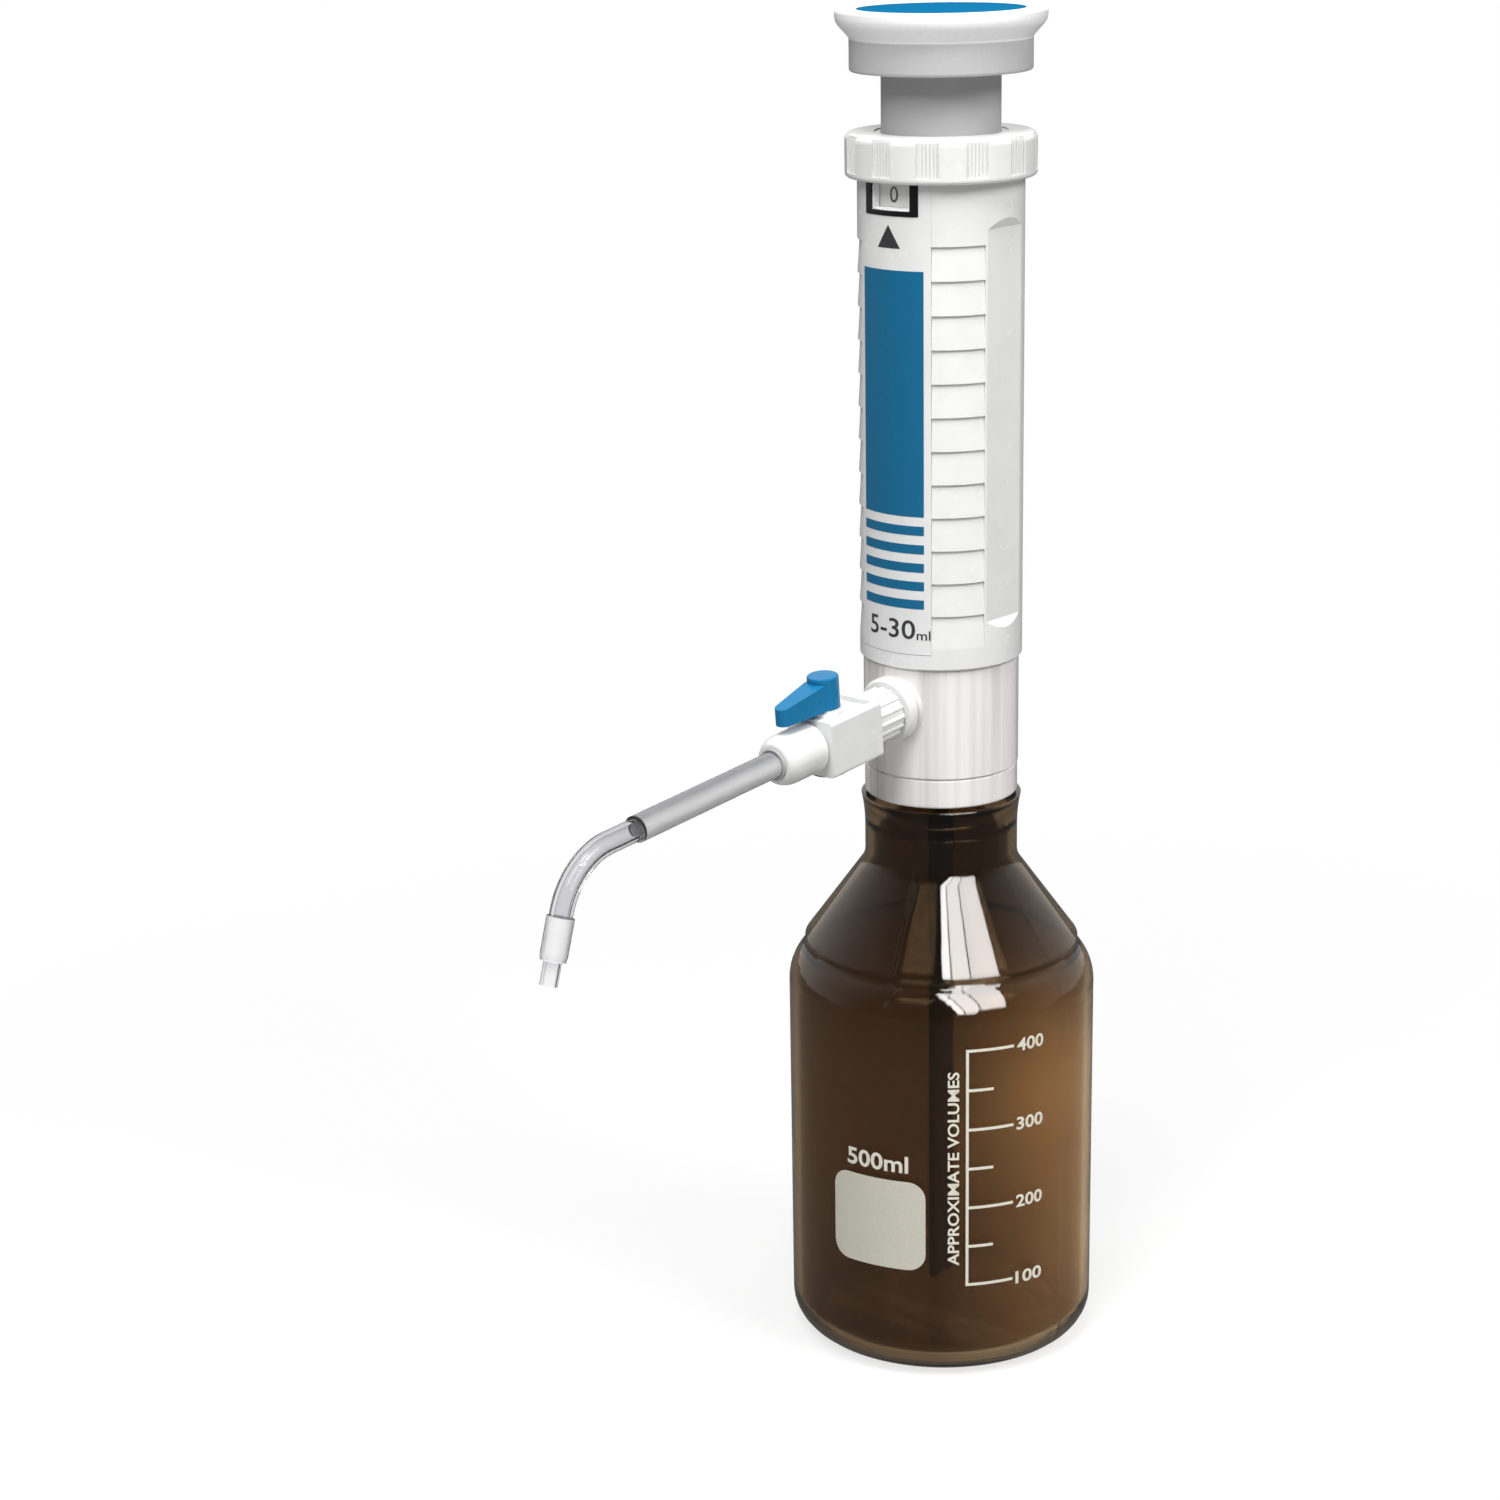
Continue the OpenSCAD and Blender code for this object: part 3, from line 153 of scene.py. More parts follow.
class DispenserSizes(bpy.types.PropertyGroup):
    """Sizes of the prints, the thread and the rings"""
    film: length("Film", "Thickness of a printed film", 0.05)
    facet: length("Facet", "Width of the facets in which a film bends round its carrier", 1.2)
    # The head's painted shade covers the band below this height
    band_h: length("Band height", "Height of the duller band round the plunger's head", 8.3)
    label_w: length("Label width", "Width of the block and the stripes", 20.4)
    pointer_drop: length("Pointer drop", "From the volume ring down to the pointer's tip", 10.7)
    pointer_h: length("Pointer height", "Height of the pointer", 6)
    pointer_w: length("Pointer width", "Width of the pointer's foot", 7.4)
    block_drop: length("Block drop", "From the volume ring down to the coloured block", 22.4)
    block_h: length("Block height", "Height of the coloured block", 65)
    stripe_drop: length("Stripe drop", "From the volume ring down to the first stripe", 89.9)
    stripe_h: length("Stripe height", "Height of one stripe", 2.5)
    stripe_pitch: length("Stripe pitch", "From one stripe to the next", 5.03)
    stripe_n: count("Stripes", "Number of stripes", 5)
    dose_drop: length("Dose drop", "From the volume ring down to the foot of the dose range", 121)
    dose_w: length("Dose width", "Width of the dose range's figures", 15.5)
    dose_h: length("Dose height", "Height of the dose range's figures", 5.3)
    unit_gap: length("Unit gap", "From the dose range to its unit", 0.4)
    unit_w: length("Unit width", "Width of the unit after the dose range", 3.8)
    unit_h: length("Unit height", "Height of the unit after the dose range", 2.6)
    drum_h: length("Drum figures", "Height of the figures on the number drum", 4.3)
    drum_step: angle("Drum step", "Turn from one figure on the drum to the next", 45)
    square_w: length("Square width", "Width of the writing square", 28.2)
    square_h: length("Square height", "Height of the writing square", 26.5)
    square_z: length("Square foot", "Height of the writing square's foot", 33)
    square_corner: length("Square corner", "Radius of the writing square's corners", 5)
    square_turn: angle("Square turn", "Turn from the front to the middle of the square", 13.5)
    capacity_z: length("Capacity foot", "Height of the foot of the bottle's capacity", 62)
    capacity_h: length("Capacity height", "Height of the capacity's figures", 5.1)
    capacity_w: length("Capacity width", "Width of the capacity's figures", 18.6)
    scale_turn: angle("Scale turn", "Turn from the front to the scale's upright", 47.6)
    scale_z: length("Scale foot", "Height of the scale's lowest mark", 28.9)
    scale_step: length("Scale step", "Height from one numbered mark to the next", 23.2)
    scale_n: count("Marks", "Number of numbered marks", 4)
    long_mark: length("Long mark", "Length of a numbered mark", 13.4)
    short_mark: length("Short mark", "Length of a mark between two numbers", 7.4)
    stroke_w: length("Stroke", "Width of the scale's lines", 0.8)
    number_h: length("Number height", "Height of the scale's numbers", 3.8)
    number_w: length("Number width", "Width of the scale's numbers", 8.8)
    number_gap: length("Number gap", "From the end of a mark to its number", 1)
    caption_h: length("Caption height", "Height of the caption's letters", 3.2)
    caption_w: length("Caption length", "Length of the caption along the scale", 57.6)
    caption_gap: length("Caption gap", "From the caption to the scale's upright", 2.2)
    panel_weight: number("Panel weight", "Extra weight of the strokes on panel and drum", 0.008)
    enamel_weight: number("Enamel weight", "Extra weight of the strokes on the bottle", 0.02)
    thread_drop: length("Thread drop", "From the bottle's rim down to the thread's start", 13)
    thread_pitch: length("Thread pitch", "Rise of the thread in one turn", 4)
    thread_h: length("Thread height", "Height of the thread's ridge", 1.1)
    thread_w: length("Thread width", "Width of the thread's foot", 2.4)
    thread_turns: number("Thread turns", "Turns of the thread", 1.6)
    # The dark ring on the sleeve's end is painted shade, a black piece for the shaded cut end
    end_ring_w: length("End ring", "Greatest width of the dark ring on the sleeve's end", 0.5)
    end_ring_t: length("End ring thickness", "Greatest thickness of the dark ring", 0.6)
    seal_ring_r: length("Seal ring", "Radius of the seal ring's cross-section", 0.4)


class DispenserColours(bpy.types.PropertyGroup):
    """Colours of the finishes"""
    white: colour("White", "Glossy white housing", "#EDEDEC")
    # Head and Band are one white ABS as lit and as shaded: painted light on the rim, painted shade on the band
    head: colour("Head", "Flared rim of the plunger head", "#F6F6F6")
    band: colour("Band", "Lower band of the plunger head", "#BCBCBC")
    cover: colour("Cover", "Cover and collar", "#F5F2F0")
    grey: colour("Grey", "Plunger sleeve and inner pieces", "#B4B4B5")
    disc: colour("Disc", "Disc in the plunger's head", "#136B97")
    lever: colour("Lever", "Stopcock lever", "#1C78A8")
    label: colour("Label", "Block and stripes of the label", "#0F6A94")
    dark: colour("Dark ink", "Pointer and figures", "#3A3A3C")
    cream: colour("Cream", "Enamel prints on the bottle", "#EDE9DA")
    patch: colour("Patch", "Writing square on the bottle", "#D8D5C5")
    amber: colour("Amber", "Brown glass of the bottle's body", "#796247")
    # Painted glow: the paler amber stands in for light coming through the glass
    amber_thin: colour("Thin amber", "Brown glass where the wall is thin", "#C2A47E")
    # Also painted shade, at the bottle's foot and under the collar at the neck
    amber_neck: colour("Neck amber", "Brown glass of the thick neck", "#5C4A34")
    # Black is also the ring of painted shade on the sleeve's end
    black: colour("Black", "Window frame and sleeve ring", "#141416")


class DispenserStage(bpy.types.PropertyGroup):
    """Camera, lamps and background"""
    turn: angle("Turn", "Turn of the camera round the object, from the front to the right", 38)
    pitch: angle("Pitch", "How far the camera looks down", 16.71)
    swing: angle("Swing", "Turn of the camera to its left, about its own upright", 3.44)
    distance: length("Distance", "Distance of the camera from the axis", 846.6)
    height: length("Height", "Height of the camera above the floor", 425.3)
    lens: number("Lens", "Focal length on a 36 mm sensor, in millimetres", 76.27)
    key_power: power("Key", "Power of the lamp on the left", 7.6)
    fill_power: power("Fill", "Power of the lamp on the right", 9.4)
    top_power: power("Top", "Power of the lamp overhead", 8.5)
    bounce_power: power("Bounce", "Power of the light thrown up at the head", 0.7)
    window_power: power("Window", "Power of a square metre of the window seen in the glass", 70)
    sky: number("Sky", "Strength of the light from all round", 0.17)
    floor_glow: number("Floor glow", "Share of the floor's white that takes no shadow", 0.74)
    floor_gloss: number("Floor gloss", "Brightness of the floor in a reflection", 0.15)
    room_gloss: number("Room gloss", "Brightness of the room behind the camera in a reflection", 0.1)
    sweep_gloss: number("Sweep gloss", "Brightness of the sweep behind the object in a reflection", 0.8)


def sizes():
    """The sizes that the scene holds."""
    return bpy.context.scene.dispenser_sizes


def colours():
    """The colours that the scene holds."""
    return bpy.context.scene.dispenser_colours


# Finishes

# Noise keeps to the middle of its range, so these limits stand for its darkest and lightest spots
NOISE_LOW, NOISE_HIGH = 0.3, 0.7
# Lightness of the darkest and the palest spots of a moulded polymer, and how far its roughness strays
MOTTLE_DARK, MOTTLE_PALE = 0.97, 1.02
GLOSS_SWING = 0.04
# Refractive index of each substance
IOR = {
    "abs": 1.53,
    "polypropylene": 1.49,
    "acetal": 1.48,
    "acrylic": 1.49,
    "fluoropolymer": 1.36,
    "ptfe": 1.35,
    "amber": 1.5,
    "borosilicate": 1.47,
    "alumina": 1.76,
    "ink": 1.5,
}


def add_node(tree, kind, inputs=None, **settings):
    """Adds a node with its settings, and its inputs as values or as links from nodes or their sockets."""
    node = tree.nodes.new("ShaderNode" + kind)
    for name, value in settings.items():
        setattr(node, name, value)
    for name, value in (inputs or {}).items():
        socket = node.inputs[name] if isinstance(name, int) else next(
            s for s in node.inputs if s.enabled and s.name == name)
        if isinstance(value, bpy.types.Node):
            value = next(s for s in value.outputs if s.enabled)
        if isinstance(value, bpy.types.NodeSocket):
            tree.links.new(value, socket)
        else:
            socket.default_value = value
    return node


def new_material(name, recipe):
    """A material whose recipe gets a way to add nodes and the place on the piece, and gives a shader."""
    made = bpy.data.materials.new(name)
    made.use_nodes = True
    made.node_tree.nodes.clear()
    add = partial(add_node, made.node_tree)
    place = add("TexCoord").outputs["Object"]
    add("OutputMaterial", {"Surface": recipe(add, place)})
    return made


def per_mm(size):
    """Scale of a noise whose spots are about this many millimetres wide."""
    return 1 / (size * MM)


def rgba(shade, lightness=1.0):
    """Colour with alpha, lightened or darkened."""
    return (*(min(1.0, part * lightness) for part in shade), 1.0)


def spread(low, high):
    """Settings that spread a noise between two values."""
    return {"From Min": NOISE_LOW, "From Max": NOISE_HIGH, "To Min": low, "To Max": high}


def stray(middle, swing):
    """Settings that spread a noise to both sides of a value."""
    return spread(middle - swing, middle + swing)


def moulded(add, place, shade, roughness, ior, peel, depth, **shader_inputs):
    """A moulded polymer: a faint mottle, uneven gloss and the fine ripple of its mould."""
    mottle_mm, wear_mm = 9, 5
    clouds = add("TexNoise", {"Vector": place, "Scale": per_mm(mottle_mm)})
    mottle = add("MapRange", {"Value": clouds, **spread(0, 1)})
    tint = add("Mix", {
        "Factor": mottle, "A": rgba(shade, MOTTLE_DARK), "B": rgba(shade, MOTTLE_PALE)}, data_type="RGBA")
    wear = add("TexNoise", {"Vector": place, "Scale": per_mm(wear_mm)})
    gloss = add("MapRange", {"Value": wear, **stray(roughness, GLOSS_SWING)})
    skin = add("TexNoise", {"Vector": place, "Scale": per_mm(peel)})
    ripple = add("Bump", {"Height": skin, "Distance": depth * MM})
    return add("BsdfPrincipled", {
        "Base Color": tint, "Roughness": gloss, "IOR": ior, "Normal": ripple, **shader_inputs})


def banded(add, place, band, rim, roughness, peel, depth):
    """ABS head with painted light and shade: a painted shade makes the band grey under a rim painted whiter, on
    one white moulding.
    """
    crease = HEAD_FOOT + sizes().band_h
    blur = 0.2 * MM
    height = add("SeparateXYZ", {"Vector": place}).outputs["Z"]
    # Painted shade below the crease, painted light above it
    above = add("MapRange", {"Value": height, "From Min": crease - blur, "From Max": crease + blur})
    skin = add("TexNoise", {"Vector": place, "Scale": per_mm(peel)})
    mottle = add("MapRange", {"Value": skin, **spread(MOTTLE_DARK, MOTTLE_PALE)})
    tint = add("Mix", {"Factor": above, "A": rgba(band), "B": rgba(rim)}, data_type="RGBA")
    mottled = add("VectorMath", {0: tint, "Scale": mottle}, operation="SCALE")
    gloss = add("MapRange", {"Value": skin, **stray(roughness, GLOSS_SWING)})
    ripple = add("Bump", {"Height": skin, "Distance": depth * MM})
    return add("BsdfPrincipled", {
        "Base Color": mottled, "Roughness": gloss, "IOR": IOR["abs"], "Normal": ripple})


def streaked(add, place, shade):
    """ABS with painted reflections: broad pale and grey bands run up the round wall for the room mirrored in it;
    fine lines and the gloss follow the flow of the mould.
    """
    flattening = 0.02
    broad_mm, fine_mm, depth_mm = 6, 0.9, 0.02
    grey, pale, line = 0.75, 1.06, 0.88
    reflection_from, reflection_to = 0.42, 0.58
    line_share = 0.45
    sleek, dull = 0.2, 0.34
    drawn = add("Mapping", {"Vector": place, "Scale": (1, 1, flattening)})
    # Painted reflection: the broad bands stand for the room mirrored in the round wall
    broad = add("TexNoise", {"Vector": drawn, "Scale": per_mm(broad_mm)})
    reflection_bands = add("MapRange", {"Value": broad, "From Min": reflection_from, "From Max": reflection_to})
    fine = add("TexNoise", {"Vector": drawn, "Scale": per_mm(fine_mm), "Detail": 1.0})
    lines = add("MapRange", {"Value": fine, **spread(0, line_share)})
    wide = add("Mix", {"Factor": reflection_bands, "A": rgba(shade, grey), "B": rgba(shade, pale)}, data_type="RGBA")
    thin = add("Mix", {"Factor": lines, "A": wide, "B": rgba(shade, line)}, data_type="RGBA")
    gloss = add("MapRange", {"Value": fine, **spread(sleek, dull)})
    ripple = add("Bump", {"Height": broad, "Distance": depth_mm * MM})
    return add("BsdfPrincipled", {
        "Base Color": thin, "Roughness": gloss, "IOR": IOR["abs"], "Normal": ripple})


def brown_glass(add, place, thick, thin, neck):
    """Amber glass with painted light and shade: a painted glow on the side turned to the right, painted shade at
    the foot, and almost black at the neck, from thicker glass and painted shade under the collar.
    """
    # The side given a painted glow of light coming through, turned from the front to the right
    glow_side = math.radians(38)
    glow_from, glow_to = -0.05 * BOTTLE_R, 0.7 * BOTTLE_R
    neck_from, neck_to = 0.45 * BOTTLE_TOP, 0.75 * BOTTLE_TOP
    foot_shade_to, foot_shade_share = 0.15 * BOTTLE_TOP, 0.5
    cloud_mm, cloud_share = 50, 0.35
    wave_mm, wave_depth_mm, smooth_mm = 40, 0.12, 1.2
    turned = add("Mapping", {"Vector": place, "Rotation": (0, 0, -glow_side)})
    along = add("SeparateXYZ", {"Vector": turned}).outputs
    # Painted glow of light coming through, on the side turned to the right
    side = add("MapRange", {"Value": along["X"], "From Min": glow_from, "From Max": glow_to})
    # Darker toward the neck: the thicker glass there, with painted shade under the collar
    rise = add("MapRange", {
        "Value": along["Z"], "From Min": neck_from, "From Max": neck_to}, interpolation_type="SMOOTHSTEP")
    # Painted shade: the glass darkens toward the floor at the foot
    foot = add("MapRange", {
        "Value": along["Z"], "From Min": foot_shade_to, "From Max": 0, "To Max": foot_shade_share})
    wall = add("Mix", {"Factor": side, "A": rgba(thick), "B": rgba(thin)}, data_type="RGBA")
    body = add("Mix", {"Factor": foot, "A": wall, "B": rgba(neck)}, data_type="RGBA")
    clouds = add("TexNoise", {"Vector": place, "Scale": per_mm(cloud_mm)})
    mottle = add("MapRange", {"Value": clouds, **spread(0, cloud_share)})
    mottled = add("Mix", {"Factor": mottle, "A": body, "B": rgba(thick)}, data_type="RGBA")
    tint = add("Mix", {"Factor": rise, "A": mottled, "B": rgba(neck)}, data_type="RGBA")
    waves = add("TexNoise", {"Vector": place, "Scale": per_mm(wave_mm)})
    # Smooths the facets of the wall in the highlights
    flow = add("Bevel", {"Radius": smooth_mm * MM}, samples=6)
    ripple = add("Bump", {"Height": waves, "Distance": wave_depth_mm * MM, "Normal": flow})
    return add("BsdfPrincipled", {
        "Base Color": tint, "Roughness": 0.01, "IOR": IOR["amber"], "Transmission Weight": 1.0,
        "Normal": ripple})


def clear(add, place, shade, roughness, ior, streak):
    """A see-through polymer or glass: its edges go grey, and drawing leaves faint lines along it."""
    tint_dark = 0.96
    gloss_share = 0.4
    drawn = add("TexNoise", {"Vector": place, "Scale": per_mm(streak)})
    lines = add("MapRange", {"Value": drawn, **spread(0, 1)})
    tint = add("Mix", {"Factor": lines, "A": rgba(shade, tint_dark), "B": rgba(shade)}, data_type="RGBA")
    gloss = add("MapRange", {"Value": drawn, **stray(roughness, roughness * gloss_share)})
    return add("BsdfPrincipled", {
        "Base Color": tint, "Roughness": gloss, "IOR": ior, "Transmission Weight": 1.0})


def drawn_tube(add, place, pale, edge, haze=0.0):
    """Drawn tube: bright along its middle, with painted shade where its wall is seen edge on, and painted light at
    its lower end.

    The haze makes a clear tube milky.
    """
    # Painted light: the tube's lower end is lightened against the shade inside the tip sleeve
    end_light = linear("#FCFCFC")
    end_light_to, end_light_from = TUBE_FOOT + 3 * MM, TUBE_FOOT + 7 * MM
    edge_shade_from = 0.2
    height = add("SeparateXYZ", {"Vector": place}).outputs["Z"]
    end = add("MapRange", {"Value": height, "From Min": end_light_from, "From Max": end_light_to})
    middle = add("Mix", {"Factor": end, "A": rgba(pale), "B": rgba(end_light)}, data_type="RGBA")
    # Painted shade: the colour goes grey where the wall is seen edge on
    facing = add("LayerWeight", {"Blend": 0.5}).outputs["Facing"]
    edge_shade = add("MapRange", {"Value": facing, "From Min": edge_shade_from, "From Max": 1.0})
    tint = add("Mix", {"Factor": edge_shade, "A": middle, "B": rgba(edge)}, data_type="RGBA")
    return add("BsdfPrincipled", {
        "Base Color": tint, "Roughness": 0.1, "IOR": IOR["fluoropolymer"],
        "Transmission Weight": 1.0 - haze})


def cored_sleeve(add, place, pale, painted_shade):
    """Milky sleeve with painted shade: grey along its top and its lowest edge, pale between."""
    painted_shade_above, painted_shade_below = 0.9 * SLEEVE_R, -0.88 * SLEEVE_R
    # Light spreads about three millimetres inside the milky wall
    milk = {"Subsurface Weight": 1.0, "Subsurface Radius": (1, 1, 1), "Subsurface Scale": 3 * MM}
    # Painted shade, grey above the line's middle and along the lowest edge
    across = add("VectorMath", {0: place, 1: PLUG}, operation="SUBTRACT")
    height = add("VectorMath", {0: across, 1: LINE_UP}, operation="DOT_PRODUCT")
    above = add("MapRange", {"Value": height, "From Min": 0, "From Max": painted_shade_above})
    below = add("MapRange", {"Value": height, "From Min": painted_shade_below, "From Max": -SLEEVE_R})
    upper = add("Mix", {"Factor": above, "A": rgba(pale), "B": rgba(painted_shade)}, data_type="RGBA")
    tint = add("Mix", {"Factor": below, "A": upper, "B": rgba(painted_shade)}, data_type="RGBA")
    return add("BsdfPrincipled", {
        "Base Color": tint, "Roughness": 0.25, "IOR": IOR["fluoropolymer"], **milk})


def turned_metal(add, place, shade, roughness):
    """Turned metal: fine grooves round the piece spread the highlight along it."""
    stretch = 0.05
    # Real grooves are finer, and would not show
    groove_mm, depth_mm = 0.6, 0.01
    dark, pale = 0.9, 1.05
    swing = 0.06
    turned = add("Mapping", {"Vector": place, "Scale": (stretch, stretch, 1)})
    grooves = add("TexNoise", {"Vector": turned, "Scale": per_mm(groove_mm), "Detail": 1.0})
    tint = add("Mix", {
        "Factor": grooves, "A": rgba(shade, dark), "B": rgba(shade, pale)}, data_type="RGBA")
    gloss = add("MapRange", {"Value": grooves, **stray(roughness, swing)})
    ripple = add("Bump", {"Height": grooves, "Distance": depth_mm * MM})
    return add("BsdfPrincipled", {
        "Base Color": tint, "Metallic": 1.0, "Roughness": gloss, "Normal": ripple})


def ink(add, place, shade):
    """Screen printed ink: a dense matt film, mottled by the mesh it was pressed through."""
    # A real mesh is finer, and would not show
    mesh_mm = 0.5
    dark, pale = 0.94, 1.04
    sleek, dull = 0.38, 0.5
    marks = add("TexNoise", {"Vector": place, "Scale": per_mm(mesh_mm)})
    mottle = add("MapRange", {"Value": marks, **spread(0, 1)})
    tint = add("Mix", {
        "Factor": mottle, "A": rgba(shade, dark), "B": rgba(shade, pale)}, data_type="RGBA")
    gloss = add("MapRange", {"Value": marks, **spread(sleek, dull)})
    return add("BsdfPrincipled", {"Base Color": tint, "Roughness": gloss, "IOR": IOR["ink"]})


# Each finish is a real substance, and the comment says what it gives the eye. The peel is the width of the
# ripple left by a mould, and the depth its height, both in millimetres
FINISHES = {
    # glossy housing, with soft broad highlights
    "white_abs_polished": lambda *at: moulded(
        *at, colours().white, roughness=0.24, ior=IOR["abs"], peel=1.4, depth=0.006),
    # plunger head, duller than the barrel, with a band of painted shade under a rim painted lighter
    "white_abs_satin": lambda *at: banded(
        *at, colours().band, colours().head, roughness=0.34, peel=1, depth=0.008),
    # cover and collar, with upright pale and grey bands of painted reflection
    "white_abs_painted_reflections": lambda *at: streaked(*at, colours().cover),
    # plunger sleeve and inner pieces, duller and greyer than the housing
    "polypropylene_grey": lambda *at: moulded(
        *at, colours().grey, roughness=0.42, ior=IOR["polypropylene"], peel=1.0, depth=0.01),
    # deep blue disc that stays deep when it is seen edge on
    "blue_abs_disc": lambda *at: moulded(
        *at, colours().disc, roughness=0.5, ior=IOR["abs"], peel=1.8, depth=0.006,
        **{"Specular IOR Level": 0}),
    # brighter blue lever, a little duller from the hand
    "blue_abs_lever": lambda *at: moulded(
        *at, colours().lever, roughness=0.3, ior=IOR["abs"], peel=1.2, depth=0.01,
        **{"Specular IOR Level": 0.2}),
    # satin black window frame, and the ring of painted shade on the sleeve's end
    "black_abs_satin": lambda *at: moulded(
        *at, colours().black, roughness=0.4, ior=IOR["abs"], peel=0.8, depth=0.012),
    # brown bottle, nearly black at its neck with painted shade under the collar, with a painted glow on one side
    # and painted shade at its foot
    "amber_borosilicate_blown": lambda *at: brown_glass(
        *at, colours().amber, colours().amber_thin, colours().amber_neck),
    # discharge tube, clear, with painted shade at its edges and painted light at its lower end
    "fluoropolymer_tube_drawn": lambda *at: drawn_tube(*at, linear("#E6E6E9"), linear("#5C5C60")),
    # sleeve behind the bend, with painted shade: grey above and pale below
    "fluoropolymer_sleeve_drawn": lambda *at: cored_sleeve(*at, linear("#FDFDFD"), linear("#868688")),
    # sleeve on the tip, milky, so that it stands out from the tube inside it, with painted shade at its edges and
    # painted light at its lower end
    "fluoropolymer_tip_drawn": lambda *at: drawn_tube(*at, linear("#F6F6F6"), linear("#6E6E72"), haze=0.45),
    # lens over the figures, clear enough to read them
    "acrylic_lens_polished": lambda *at: clear(
        *at, linear("#FDFDFD"), roughness=0.02, ior=IOR["acrylic"], streak=6),
    # measuring cylinder, clear with a faint cold tint
    "borosilicate_cylinder_drawn": lambda *at: clear(
        *at, linear("#F2F7F7"), roughness=0.01, ior=IOR["borosilicate"], streak=8),
    # waxy white piston and seals
    "ptfe_skived": lambda *at: moulded(
        *at, linear("#EDEDE8"), roughness=0.5, ior=IOR["ptfe"], peel=0.7, depth=0.02,
        **{"Subsurface Weight": 0.05}),
    # grey dip tube, dark behind the brown glass
    "ptfe_filled_extruded": lambda *at: moulded(
        *at, linear("#5C5853"), roughness=0.5, ior=IOR["ptfe"], peel=0.8, depth=0.01),
    # matt white drum, painted grey for the shade it sits in behind the window
    "acetal_drum_moulded": lambda *at: moulded(
        *at, linear("#C8C8C6"), roughness=0.5, ior=IOR["acetal"], peel=0.8, depth=0.008),
    # warm yellow stop nut
    "brass_turned": lambda *at: turned_metal(*at, linear("#C9A45C"), roughness=0.3),
    # pale setting sleeve with a soft sheen
    "aluminium_turned": lambda *at: turned_metal(*at, linear("#C4C6C9"), roughness=0.34),
    # screw, spring and clip, grey and bright
    "stainless_steel_turned": lambda *at: turned_metal(*at, linear("#B4B6BA"), roughness=0.28),
    # valve balls with a hard china gloss
    "alumina_ball_polished": lambda *at: moulded(
        *at, linear("#EFE9DD"), roughness=0.12, ior=IOR["alumina"], peel=3, depth=0.002),
    # block and stripes, flat and even
    "blue_ink_screened": lambda *at: ink(*at, colours().label),
    # pointer and dose range, a soft black
    "dark_ink_screened": lambda *at: ink(*at, colours().dark),
    # figures on the drum, black so that they read through the lens
    "black_ink_screened": lambda *at: ink(*at, colours().black),
    # scale and numbers, fired on the glass
    "cream_enamel_fired": lambda *at: ink(*at, colours().cream),
    # writing square, a little greyer, so that a pencil marks it
    "grey_enamel_fired": lambda *at: ink(*at, colours().patch),
}

SLOT_FINISHES = {
    "amber_glass": "amber_borosilicate_blown",
    "white_abs": "white_abs_polished",
    "grey_white_pp": "polypropylene_grey",
    "disc_blue": "blue_abs_disc",
    "lever_blue": "blue_abs_lever",
    "black_abs": "black_abs_satin",
    "clear_tube": "fluoropolymer_tube_drawn",
    "cylinder_glass": "borosilicate_cylinder_drawn",
    "ptfe": "ptfe_skived",
    "drum_white": "acetal_drum_moulded",
    "brass_nut": "brass_turned",
    "setting_metal": "aluminium_turned",
    "steel": "stainless_steel_turned",
    "ball_ceramic": "alumina_ball_polished",
}
NODE_FINISHES = {
    "valve_cover": "white_abs_painted_reflections",
    "screw_collar": "white_abs_painted_reflections",
    "window_lens": "acrylic_lens_polished",
    "plunger_head": "white_abs_satin",
    "dip_tube": "ptfe_filled_extruded",
    "tube_sleeve": "fluoropolymer_sleeve_drawn",
    "tip_sleeve": "fluoropolymer_tip_drawn",
    "guide_bush": "white_abs_polished",
}

# Clear pieces that let the light through to what they cover
CLEAR_COVERS = ("window_lens", "tip_sleeve")


def finish(name):
    """The finish of that name, made when it is first asked for."""
    return bpy.data.materials.get(name) or new_material(name, FINISHES[name])


# Shapes

def add_piece(name, bm, finish_name, body):
    """Makes a mesh a piece that rides on a body, with its finish."""
    bmesh.ops.remove_doubles(bm, verts=bm.verts, dist=WELD)
    bmesh.ops.recalc_face_normals(bm, faces=bm.faces)
    mesh = bpy.data.meshes.new(name)
    bm.to_mesh(mesh)
    bm.free()
    mesh.materials.append(finish(finish_name))
    piece = bpy.data.objects.new(name, mesh)
    bpy.context.scene.collection.objects.link(piece)
    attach(piece, body)


def add_bar(bm, left, low, width, height):
    """A flat bar of film."""
    film = sizes().film
    verts = bmesh.ops.create_cube(bm, size=1)["verts"]
    bmesh.ops.scale(bm, vec=(width, height, film), verts=verts)
    bmesh.ops.translate(bm, vec=(left + width / 2, low + height / 2, film / 2), verts=verts)


